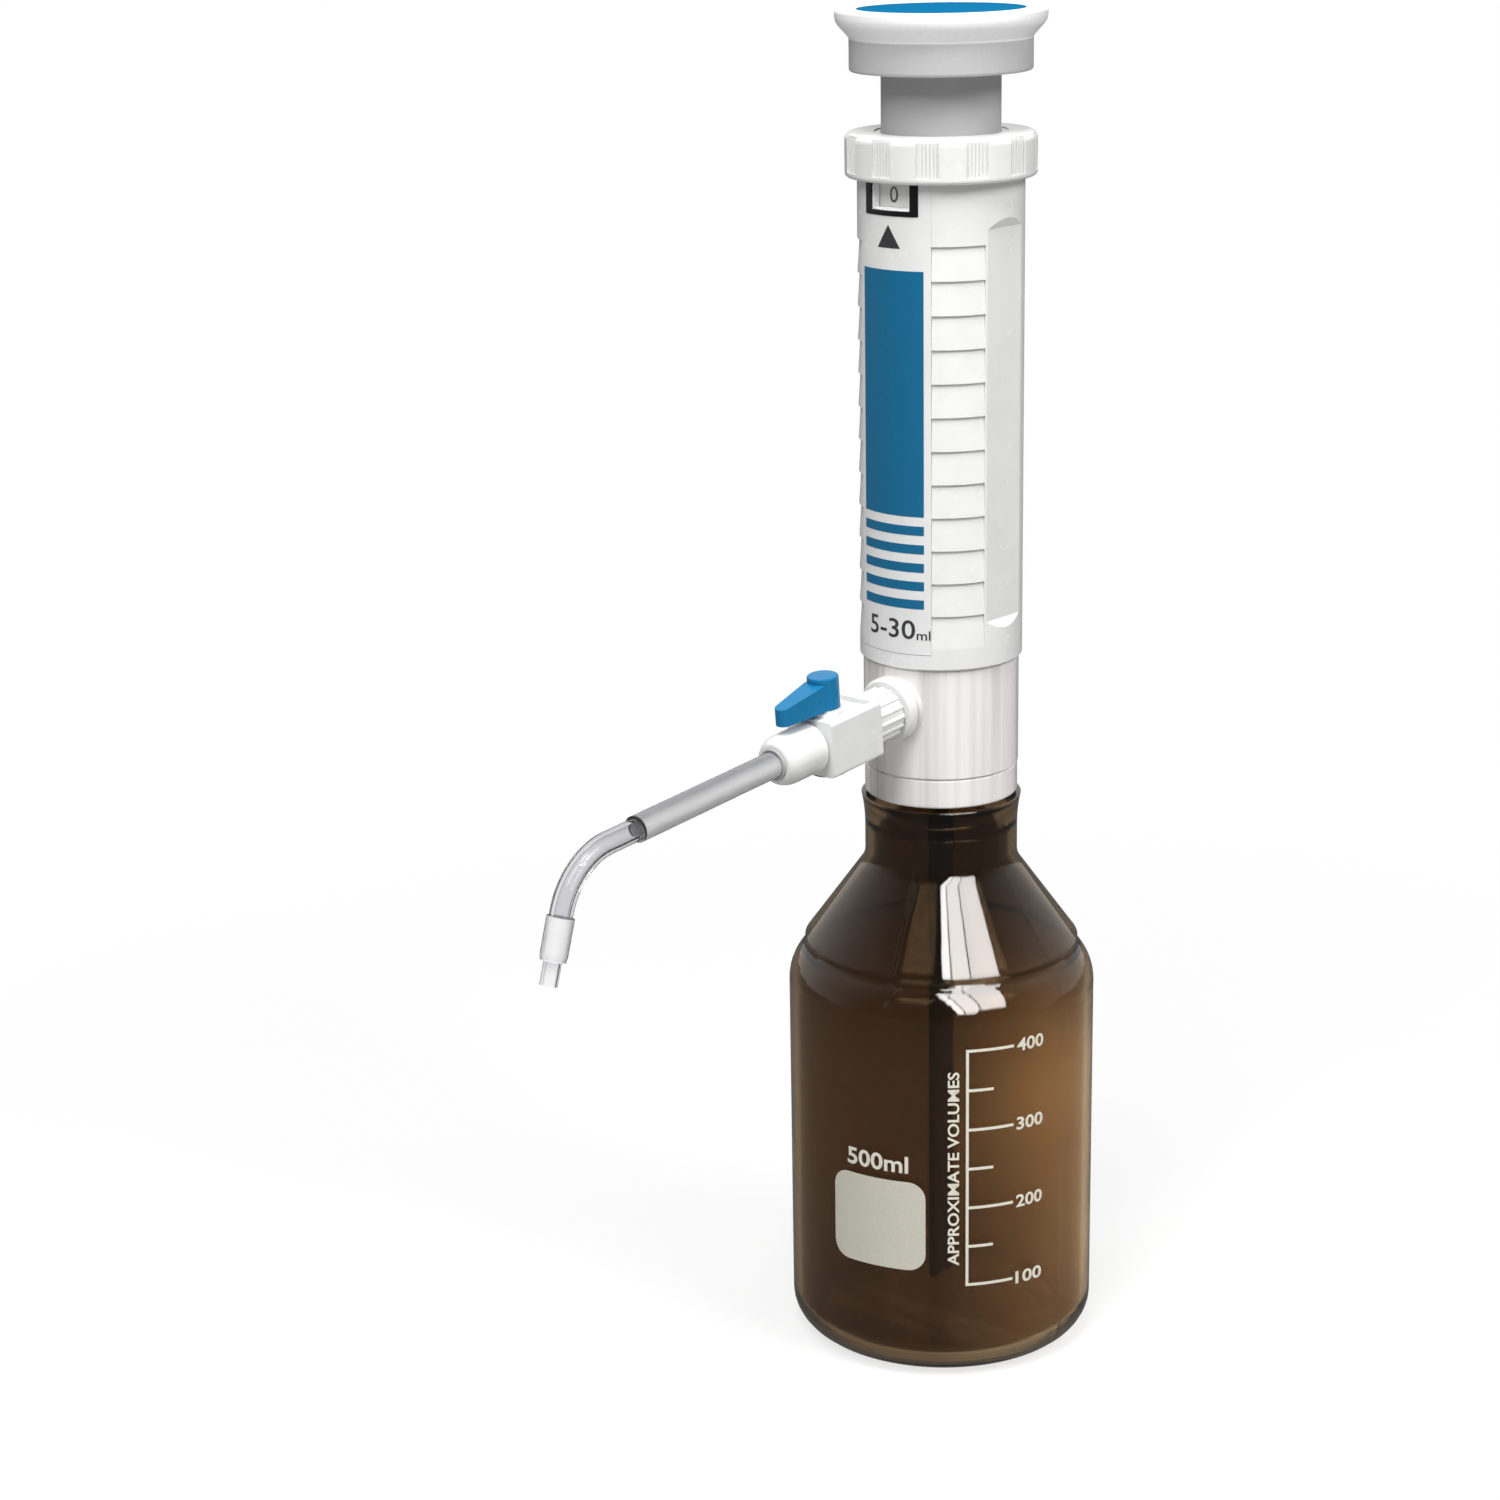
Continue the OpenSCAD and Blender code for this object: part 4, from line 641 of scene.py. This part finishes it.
def add_lettering(bm, words, x, low, height, weight, anchor=0.0, width=None, upright=False):
    """A line of lettering in film, with its anchor (0 left, 1 right) at x, or read upward beside x.

    The weight thickens the strokes, in shares of the type's size.
    """
    half_depth = 0.5
    curve = bpy.data.curves.new("lettering", "FONT")
    curve.body = words
    curve.extrude = half_depth
    curve.offset = weight
    curve.resolution_u = 3
    holder = bpy.data.objects.new("lettering", curve)
    bpy.context.scene.collection.objects.link(holder)
    bpy.context.view_layer.update()
    seen = holder.evaluated_get(bpy.context.evaluated_depsgraph_get())
    flat = bpy.data.meshes.new_from_object(seen)
    left = min(v.co.x for v in flat.vertices)
    right = max(v.co.x for v in flat.vertices)
    foot = min(v.co.y for v in flat.vertices)
    top = max(v.co.y for v in flat.vertices)
    tall = height / (top - foot)
    wide = width / (right - left) if width else tall
    start = Vector((left + anchor * (right - left), foot, -half_depth))
    fit = Matrix.Diagonal((wide, tall, sizes().film, 1)) @ Matrix.Translation(-start)
    turn = Matrix.Rotation(math.pi / 2, 4, "Z") if upright else Matrix.Identity(4)
    flat.transform(Matrix.Translation((x, low, 0)) @ turn @ fit)
    bm.from_mesh(flat)
    bpy.data.objects.remove(holder)
    bpy.data.curves.remove(curve)
    bpy.data.meshes.remove(flat)


def wrap(bm, radius, turn, height):
    """Bends a flat film round the Z axis, its X along the round and its Y upward."""
    step = sizes().facet
    low = min(v.co.x for v in bm.verts)
    high = max(v.co.x for v in bm.verts)
    for i in range(1, math.ceil((high - low) / step)):
        bmesh.ops.bisect_plane(bm, geom=bm.verts[:] + bm.edges[:] + bm.faces[:],
                               plane_co=(low + i * step, 0, 0), plane_no=(1, 0, 0))
    for v in bm.verts:
        here = turn + v.co.x / radius
        out = radius + v.co.z
        v.co = (out * math.sin(here), -out * math.cos(here), height + v.co.y)


def add_ring(bm, profile, steps=96):
    """Spins a closed profile of (radius, height) points round the Z axis."""
    verts = [bm.verts.new((r, 0, z)) for r, z in profile]
    edges = [bm.edges.new((verts[i - 1], verts[i])) for i in range(len(verts))]
    bmesh.ops.spin(bm, geom=verts + edges, cent=(0, 0, 0), axis=(0, 0, 1), angle=math.tau,
                   steps=steps, use_merge=True)


def circle(x, z, r, n=16):
    """Points of a round cross-section."""
    return [(x + r * math.cos(math.tau * i / n), z + r * math.sin(math.tau * i / n)) for i in range(n)]


# Operators

class DISPENSER_OT_finishes(bpy.types.Operator):
    """Gives every CAD node the finish of its substance"""
    bl_idname = "dispenser.finishes"
    bl_label = "Finishes"

    def execute(self, context):
        for row in frame["record"]["subparts"]:
            node = row["node"]
            name = NODE_FINISHES.get(node, SLOT_FINISHES[row["material_slot"]])
            mesh = frame["nodes"][node].data
            mesh.materials.clear()
            mesh.materials.append(finish(name))
        for node in CLEAR_COVERS:
            frame["nodes"][node].visible_shadow = False
        return {"FINISHED"}


class DISPENSER_OT_label(bpy.types.Operator):
    """Prints the pointer, block, stripes and dose range on the front panel"""
    bl_idname = "dispenser.label"
    bl_label = "Front label"

    def execute(self, context):
        s = sizes()
        left = -s.label_w / 2
        block = bmesh.new()
        add_bar(block, left, -s.block_drop - s.block_h, s.label_w, s.block_h)
        for i in range(s.stripe_n):
            stripe_low = -s.stripe_drop - i * s.stripe_pitch - s.stripe_h
            add_bar(block, left, stripe_low, s.label_w, s.stripe_h)
        wrap(block, PANEL_R, 0, RING_FOOT)
        add_piece("label_block", block, "blue_ink_screened", "dispenser")

        figures = bmesh.new()
        self.add_pointer(figures)
        add_lettering(figures, "5-30", 0, -s.dose_drop, s.dose_h, s.panel_weight,
                      anchor=0.5, width=s.dose_w)
        add_lettering(figures, "ml", s.dose_w / 2 + s.unit_gap, -s.dose_drop, s.unit_h, s.panel_weight,
                      width=s.unit_w)
        wrap(figures, PANEL_R, 0, RING_FOOT)
        add_piece("label_figures", figures, "dark_ink_screened", "dispenser")
        return {"FINISHED"}

    def add_pointer(self, bm):
        """A triangle of film with its first corner at the top."""
        s = sizes()
        tip = bmesh.ops.create_cone(bm, cap_ends=True, segments=3, radius1=1, radius2=1,
                                    depth=s.film)["verts"]
        upright = math.pi / 2 - math.atan2(tip[0].co.y, tip[0].co.x)
        bmesh.ops.rotate(bm, cent=(0, 0, 0), matrix=Matrix.Rotation(upright, 3, "Z"), verts=tip)
        foot = min(v.co.y for v in tip)
        tall = max(v.co.y for v in tip) - foot
        wide = max(v.co.x for v in tip) - min(v.co.x for v in tip)
        bmesh.ops.translate(bm, vec=(0, -foot, s.film / 2), verts=tip)
        bmesh.ops.scale(bm, vec=(s.pointer_w / wide, s.pointer_h / tall, 1), verts=tip)
        bmesh.ops.translate(bm, vec=(0, -s.pointer_drop - s.pointer_h, 0), verts=tip)


class DISPENSER_OT_drum_figures(bpy.types.Operator):
    """Prints the doses round the number drum, the lowest one at the window"""
    bl_idname = "dispenser.drum_figures"
    bl_label = "Drum figures"
    doses = (0, 5, 10, 15, 20, 25, 30)

    def execute(self, context):
        s = sizes()
        figures = bmesh.new()
        for i, dose in enumerate(self.doses):
            add_lettering(figures, str(dose), -i * s.drum_step * DRUM_R, -s.drum_h / 2, s.drum_h,
                          s.panel_weight, anchor=0.5)
        wrap(figures, DRUM_R, 0, (LENS_LOW.z + LENS_HIGH.z) / 2)
        add_piece("drum_figures", figures, "black_ink_screened", "dose_ring")
        return {"FINISHED"}


class DISPENSER_OT_bottle_prints(bpy.types.Operator):
    """Fires the writing square, capacity, scale and numbers on the bottle"""
    bl_idname = "dispenser.bottle_prints"
    bl_label = "Bottle prints"
    corner_segments = 8
    number_step = 100

    def execute(self, context):
        s = sizes()
        square = bmesh.new()
        add_bar(square, -s.square_w / 2, 0, s.square_w, s.square_h)
        corners = [e for e in square.edges if abs(e.verts[0].co.z - e.verts[1].co.z) > s.film / 2]
        bmesh.ops.bevel(square, geom=corners, offset=s.square_corner, affect="EDGES",
                        segments=self.corner_segments, profile=0.5, material=-1)
        wrap(square, BOTTLE_R, s.square_turn, s.square_z)
        add_piece("writing_square", square, "grey_enamel_fired", "bottle")

        capacity = bmesh.new()
        add_lettering(capacity, "500ml", 0, 0, s.capacity_h, s.enamel_weight,
                      anchor=0.5, width=s.capacity_w)
        wrap(capacity, BOTTLE_R, s.square_turn, s.capacity_z)
        add_piece("bottle_capacity", capacity, "cream_enamel_fired", "bottle")

        scale = bmesh.new()
        half = s.stroke_w / 2
        scale_h = (s.scale_n - 1) * s.scale_step
        add_bar(scale, -half, -half, s.stroke_w, scale_h + s.stroke_w)
        for i in range(s.scale_n):
            mark_z = i * s.scale_step
            add_bar(scale, half, mark_z - half, s.long_mark - half, s.stroke_w)
            add_lettering(scale, str(self.number_step * (i + 1)), s.long_mark + s.number_gap,
                          mark_z - s.number_h / 2, s.number_h, s.enamel_weight, width=s.number_w)
            if i < s.scale_n - 1:
                add_bar(scale, half, mark_z + s.scale_step / 2 - half, s.short_mark - half, s.stroke_w)
        add_lettering(scale, "APPROXIMATE VOLUMES", -s.caption_gap, (scale_h - s.caption_w) / 2,
                      s.caption_h, s.enamel_weight, width=s.caption_w, upright=True)
        wrap(scale, BOTTLE_R, s.scale_turn, s.scale_z)
        add_piece("bottle_scale", scale, "cream_enamel_fired", "bottle")
        return {"FINISHED"}


class DISPENSER_OT_thread(bpy.types.Operator):
    """Winds the screw thread on the bottle's finish, under the collar"""
    bl_idname = "dispenser.thread"
    bl_label = "Bottle thread"
    steps_per_turn = 72
    run_out_steps = 8
    # How deep the ridge is sunk in the glass, and how far below the rim the plain finish is measured
    root = 0.2 * MM
    rim_zone = 2 * MM
    # Place of the ridge's rounded edges, in shares of its height and width
    edge_out, edge_up = 0.8, 0.22

    def execute(self, context):
        s = sizes()
        wall = frame["nodes"]["bottle"].data.vertices
        finish_r = max(v.co.xy.length for v in wall if v.co.z > BOTTLE_TOP - self.rim_zone)
        start = BOTTLE_TOP - s.thread_drop
        bm = bmesh.new()
        edge = s.thread_h * self.edge_out
        profile = [(-self.root, -0.5), (0, -0.5), (edge, -self.edge_up), (s.thread_h, 0),
                   (edge, self.edge_up), (0, 0.5), (-self.root, 0.5)]
        ring = [bm.verts.new((finish_r + out, 0, start + s.thread_w * up)) for out, up in profile]
        bm.faces.new(ring)
        steps = round(s.thread_turns * self.steps_per_turn)
        bmesh.ops.spin(bm, geom=bm.verts[:] + bm.edges[:] + bm.faces[:], cent=(0, 0, 0),
                       axis=(0, 0, 1), dvec=(0, 0, s.thread_pitch / self.steps_per_turn),
                       angle=math.tau * s.thread_turns, steps=steps)
        bm.verts.ensure_lookup_table()
        for i, v in enumerate(bm.verts):
            step = i // len(profile)
            share = min(1, step / self.run_out_steps, (steps - step) / self.run_out_steps)
            out = v.co.xy.length - finish_r
            if out > 0:
                v.co.xy *= (finish_r + out * share) / v.co.xy.length
        add_piece("bottle_thread", bm, "amber_borosilicate_blown", "bottle")
        return {"FINISHED"}


class DISPENSER_OT_tube_rings(bpy.types.Operator):
    """Sets a dark ring of painted shade on the tube sleeve's end, and the seal ring in front of the nose nut"""
    bl_idname = "dispenser.tube_rings"
    bl_label = "Tube rings"
    # How deep the ring of painted shade sits in the sleeve, and its thickness below in shares of that above
    sink = 0.05 * MM
    thin_share = 0.15

    def execute(self, context):
        s = sizes()
        # A black ring of painted shade on the sleeve's cut end
        end_shade_ring = bmesh.new()
        inner = SLEEVE_R - s.end_ring_w
        add_ring(end_shade_ring, [(inner, -self.sink), (SLEEVE_R, -self.sink),
                            (SLEEVE_R, s.end_ring_t), (inner, s.end_ring_t)])
        for v in end_shade_ring.verts:
            out = v.co.xy.length
            share = self.thin_share + (1 - self.thin_share) * (1 + v.co.y / out) / 2
            v.co.xy *= (SLEEVE_R - (SLEEVE_R - out) * share) / out
            v.co.z *= share
        end_shade_ring.transform(line_end("tube_sleeve"))
        add_piece("sleeve_end_shade_ring", end_shade_ring, "black_abs_satin", "dispenser")

        seal = bmesh.new()
        add_ring(seal, circle(SLEEVE_R + s.seal_ring_r, s.seal_ring_r, s.seal_ring_r))
        seal.transform(line_end("nose_nut"))
        add_piece("nose_seal_ring", seal, "polypropylene_grey", "dispenser")
        return {"FINISHED"}


class DISPENSER_OT_stage(bpy.types.Operator):
    """Sets the camera, the lamps, the floor and the white surroundings"""
    bl_idname = "dispenser.stage"
    bl_label = "Stage"
    # Width and height in metres, turn from the camera to the right, rise, and distance in metres
    lamps = {
        "key": ((0.5, 0.5), -25, 50, 1.2),
        "fill": ((0.5, 0.5), 55, 46, 1.3),
        "top": ((0.4, 0.4), -10, 72, 1.3),
        "bounce": ((0.3, 0.2), 0, -28, 0.35),
    }
    # Width of each pane of the window, and its share of the power of one square metre
    panes = ((0.11, 1.0), (0.24, 0.8), (0.4, 0.7))
    pane_h, pane_gap = 1.05, 0.02
    window_turn, window_rise, window_distance = 31, 41, 1.1
    floor_size = 30
    # Distances from the axis between which the floor's shadow fades
    fade_near, fade_far = 0.15, 0.5
    # Lightness of the floor as the lamps see it
    floor_grey = 0.45
    # Half the width of the change from the room to the sweep in a reflection
    room_blend = 0.5

    def execute(self, context):
        stage = context.scene.dispenser_stage
        context.scene.view_settings.view_transform = "Standard"
        self.add_camera(context, stage)
        self.add_lamps(context, stage)
        self.add_window(context, stage)
        self.add_floor(context)
        self.light_world(context, stage)
        return {"FINISHED"}

    def add_camera(self, context, stage):
        data = bpy.data.cameras.new("photo_camera")
        data.lens = stage.lens
        camera = bpy.data.objects.new("photo_camera", data)
        context.scene.collection.objects.link(camera)
        away = stage.distance
        place = Vector((away * math.sin(stage.turn), -away * math.cos(stage.turn), stage.height))
        camera.matrix_world = (
            Matrix.Translation(place)
            @ Matrix.Rotation(stage.turn, 4, "Z")
            @ Matrix.Rotation(math.pi / 2 - stage.pitch, 4, "X")
            @ Matrix.Rotation(stage.swing, 4, "Y")
        )
        context.scene.camera = camera

    def add_lamp(self, context, name, watts, size, turn, rise, distance, aside=0.0):
        """An area lamp that faces the object, turned from the camera's side to the right."""
        data = bpy.data.lights.new(name, "AREA")
        data.shape = "RECTANGLE"
        data.size, data.size_y = size
        data.energy = watts
        lamp = bpy.data.objects.new(name, data)
        context.scene.collection.objects.link(lamp)
        middle = Vector((0, 0, (cad_box[0][2] + cad_box[1][2]) / 2))
        lamp.matrix_world = (
            Matrix.Translation(middle)
            @ Matrix.Rotation(context.scene.dispenser_stage.turn + math.radians(turn), 4, "Z")
            @ Matrix.Rotation(math.pi / 2 - math.radians(rise), 4, "X")
            @ Matrix.Translation((aside, 0, distance))
        )
        return lamp

    def lit_alone(self, name, node):
        """A collection that keeps a lamp's light to one CAD node."""
        kept = bpy.data.collections.new(name)
        kept.objects.link(frame["nodes"][node])
        return kept

    def add_lamps(self, context, stage):
        powers = {"key": stage.key_power, "fill": stage.fill_power, "top": stage.top_power,
                  "bounce": stage.bounce_power}
        for name, place in self.lamps.items():
            lamp = self.add_lamp(context, f"{name}_lamp", powers[name], *place)
            lamp.visible_glossy = False
        bounce = context.scene.objects["bounce_lamp"]
        bounce.visible_camera = False
        bounce.light_linking.receiver_collection = self.lit_alone("head_in_bounce", "plunger_head")

    def add_window(self, context, stage):
        """A window of three panes that shows in the glass alone."""
        glass = self.lit_alone("window_in_glass", "bottle")
        aside = -(sum(width for width, _ in self.panes) + self.pane_gap * (len(self.panes) - 1)) / 2
        for i, (width, share) in enumerate(self.panes):
            watts = stage.window_power * share * width * self.pane_h
            pane = self.add_lamp(context, f"window_pane_{i}", watts, (width, self.pane_h), self.window_turn,
                                 self.window_rise, self.window_distance, aside + width / 2)
            pane.visible_diffuse = False
            pane.light_linking.receiver_collection = glass
            aside += width + self.pane_gap

    def add_floor(self, context):
        bm = bmesh.new()
        bmesh.ops.create_grid(bm, x_segments=1, y_segments=1, size=self.floor_size / 2)
        mesh = bpy.data.meshes.new("floor")
        bm.to_mesh(mesh)
        bm.free()
        mesh.materials.append(new_material("floor_paper_white", self.paper))
        floor = bpy.data.objects.new("floor", mesh)
        context.scene.collection.objects.link(floor)

    def paper(self, add, place):
        """White paper that keeps the object's shadow, darker in reflections than it is seen."""
        stage = bpy.context.scene.dispenser_stage
        away = add("VectorMath", {0: place}, operation="LENGTH")
        share = add("MapRange", {
            "Value": away, "From Min": self.fade_near, "From Max": self.fade_far,
            "To Min": stage.floor_glow, "To Max": 1.0})
        lit = add("BsdfDiffuse", {"Color": rgba((1, 1, 1))})
        glow = add("Emission")
        white = add("MixShader", {0: share, 1: lit, 2: glow})
        plain = add("BsdfDiffuse", {"Color": rgba((self.floor_grey,) * 3)})
        dark = add("BsdfDiffuse", {"Color": rgba((0, 0, 0))})
        seen, mirrored = self.seen_rays(add)
        shown = add("MixShader", {0: seen, 1: plain, 2: white})
        kept = add("MapRange", {"Value": mirrored, "To Max": 1 - stage.floor_gloss})
        return add("MixShader", {0: kept, 1: shown, 2: dark})

    def seen_rays(self, add):
        """Rays that show the background, straight or by way of a piece, and the mirrored ones alone."""
        path = add("LightPath").outputs
        shown = add("Math", {0: path["Is Camera Ray"], 1: path["Is Glossy Ray"]}, operation="MAXIMUM")
        seen = add("Math", {0: shown, 1: path["Is Transmission Ray"]}, operation="MAXIMUM")
        mirrored = add("Math", {
            0: path["Is Glossy Ray"], 1: path["Is Transmission Ray"]}, operation="SUBTRACT", use_clamp=True)
        return seen, mirrored

    def light_world(self, context, stage):
        """Soft light from all round, which is white where it is seen and dimmer behind the camera."""
        world = bpy.data.worlds.new("studio")
        world.use_nodes = True
        world.node_tree.nodes.clear()
        add = partial(add_node, world.node_tree)
        seen, mirrored = self.seen_rays(add)
        ahead = Vector((-math.sin(stage.turn), math.cos(stage.turn), 0))
        looking = add("TexCoord").outputs["Generated"]
        behind = add("VectorMath", {0: looking, 1: ahead}, operation="DOT_PRODUCT")
        room = add("MapRange", {
            "Value": behind, "From Min": -self.room_blend, "From Max": self.room_blend,
            "To Min": stage.room_gloss, "To Max": stage.sweep_gloss})
        white = add("MapRange", {"Value": seen, "To Min": stage.sky, "To Max": 1.0})
        kept = add("MapRange", {"Value": mirrored, "To Min": 1.0, "To Max": room})
        strength = add("Math", {0: white, 1: kept}, operation="MULTIPLY")
        sky = add("Background", {"Color": rgba((1, 1, 1)), "Strength": strength})
        add("OutputWorld", {"Surface": sky})
        context.scene.world = world


MAKERS = (DISPENSER_OT_finishes, DISPENSER_OT_label, DISPENSER_OT_drum_figures, DISPENSER_OT_bottle_prints,
          DISPENSER_OT_thread, DISPENSER_OT_tube_rings, DISPENSER_OT_stage)


class DISPENSER_PT_makers(bpy.types.Panel):
    """Lists the steps that dress the dispenser"""
    bl_label = "Bottle top dispenser"
    bl_space_type = "VIEW_3D"
    bl_region_type = "UI"
    bl_category = "Dispenser"

    def draw(self, context):
        for maker in MAKERS:
            self.layout.operator(maker.bl_idname)


GROUPS = {
    "dispenser_sizes": DispenserSizes,
    "dispenser_colours": DispenserColours,
    "dispenser_stage": DispenserStage,
}


def register():
    for name, group in GROUPS.items():
        bpy.utils.register_class(group)
        setattr(bpy.types.Scene, name, PointerProperty(type=group))
    for cls in (*MAKERS, DISPENSER_PT_makers):
        bpy.utils.register_class(cls)


def unregister():
    for cls in (DISPENSER_PT_makers, *reversed(MAKERS)):
        bpy.utils.unregister_class(cls)
    for name, group in GROUPS.items():
        delattr(bpy.types.Scene, name)
        bpy.utils.unregister_class(group)


def main():
    register()
    bpy.ops.dispenser.finishes()
    bpy.ops.dispenser.label()
    bpy.ops.dispenser.drum_figures()
    bpy.ops.dispenser.bottle_prints()
    bpy.ops.dispenser.thread()
    bpy.ops.dispenser.tube_rings()
    bpy.ops.dispenser.stage()


if __name__ == "__main__":
    main()
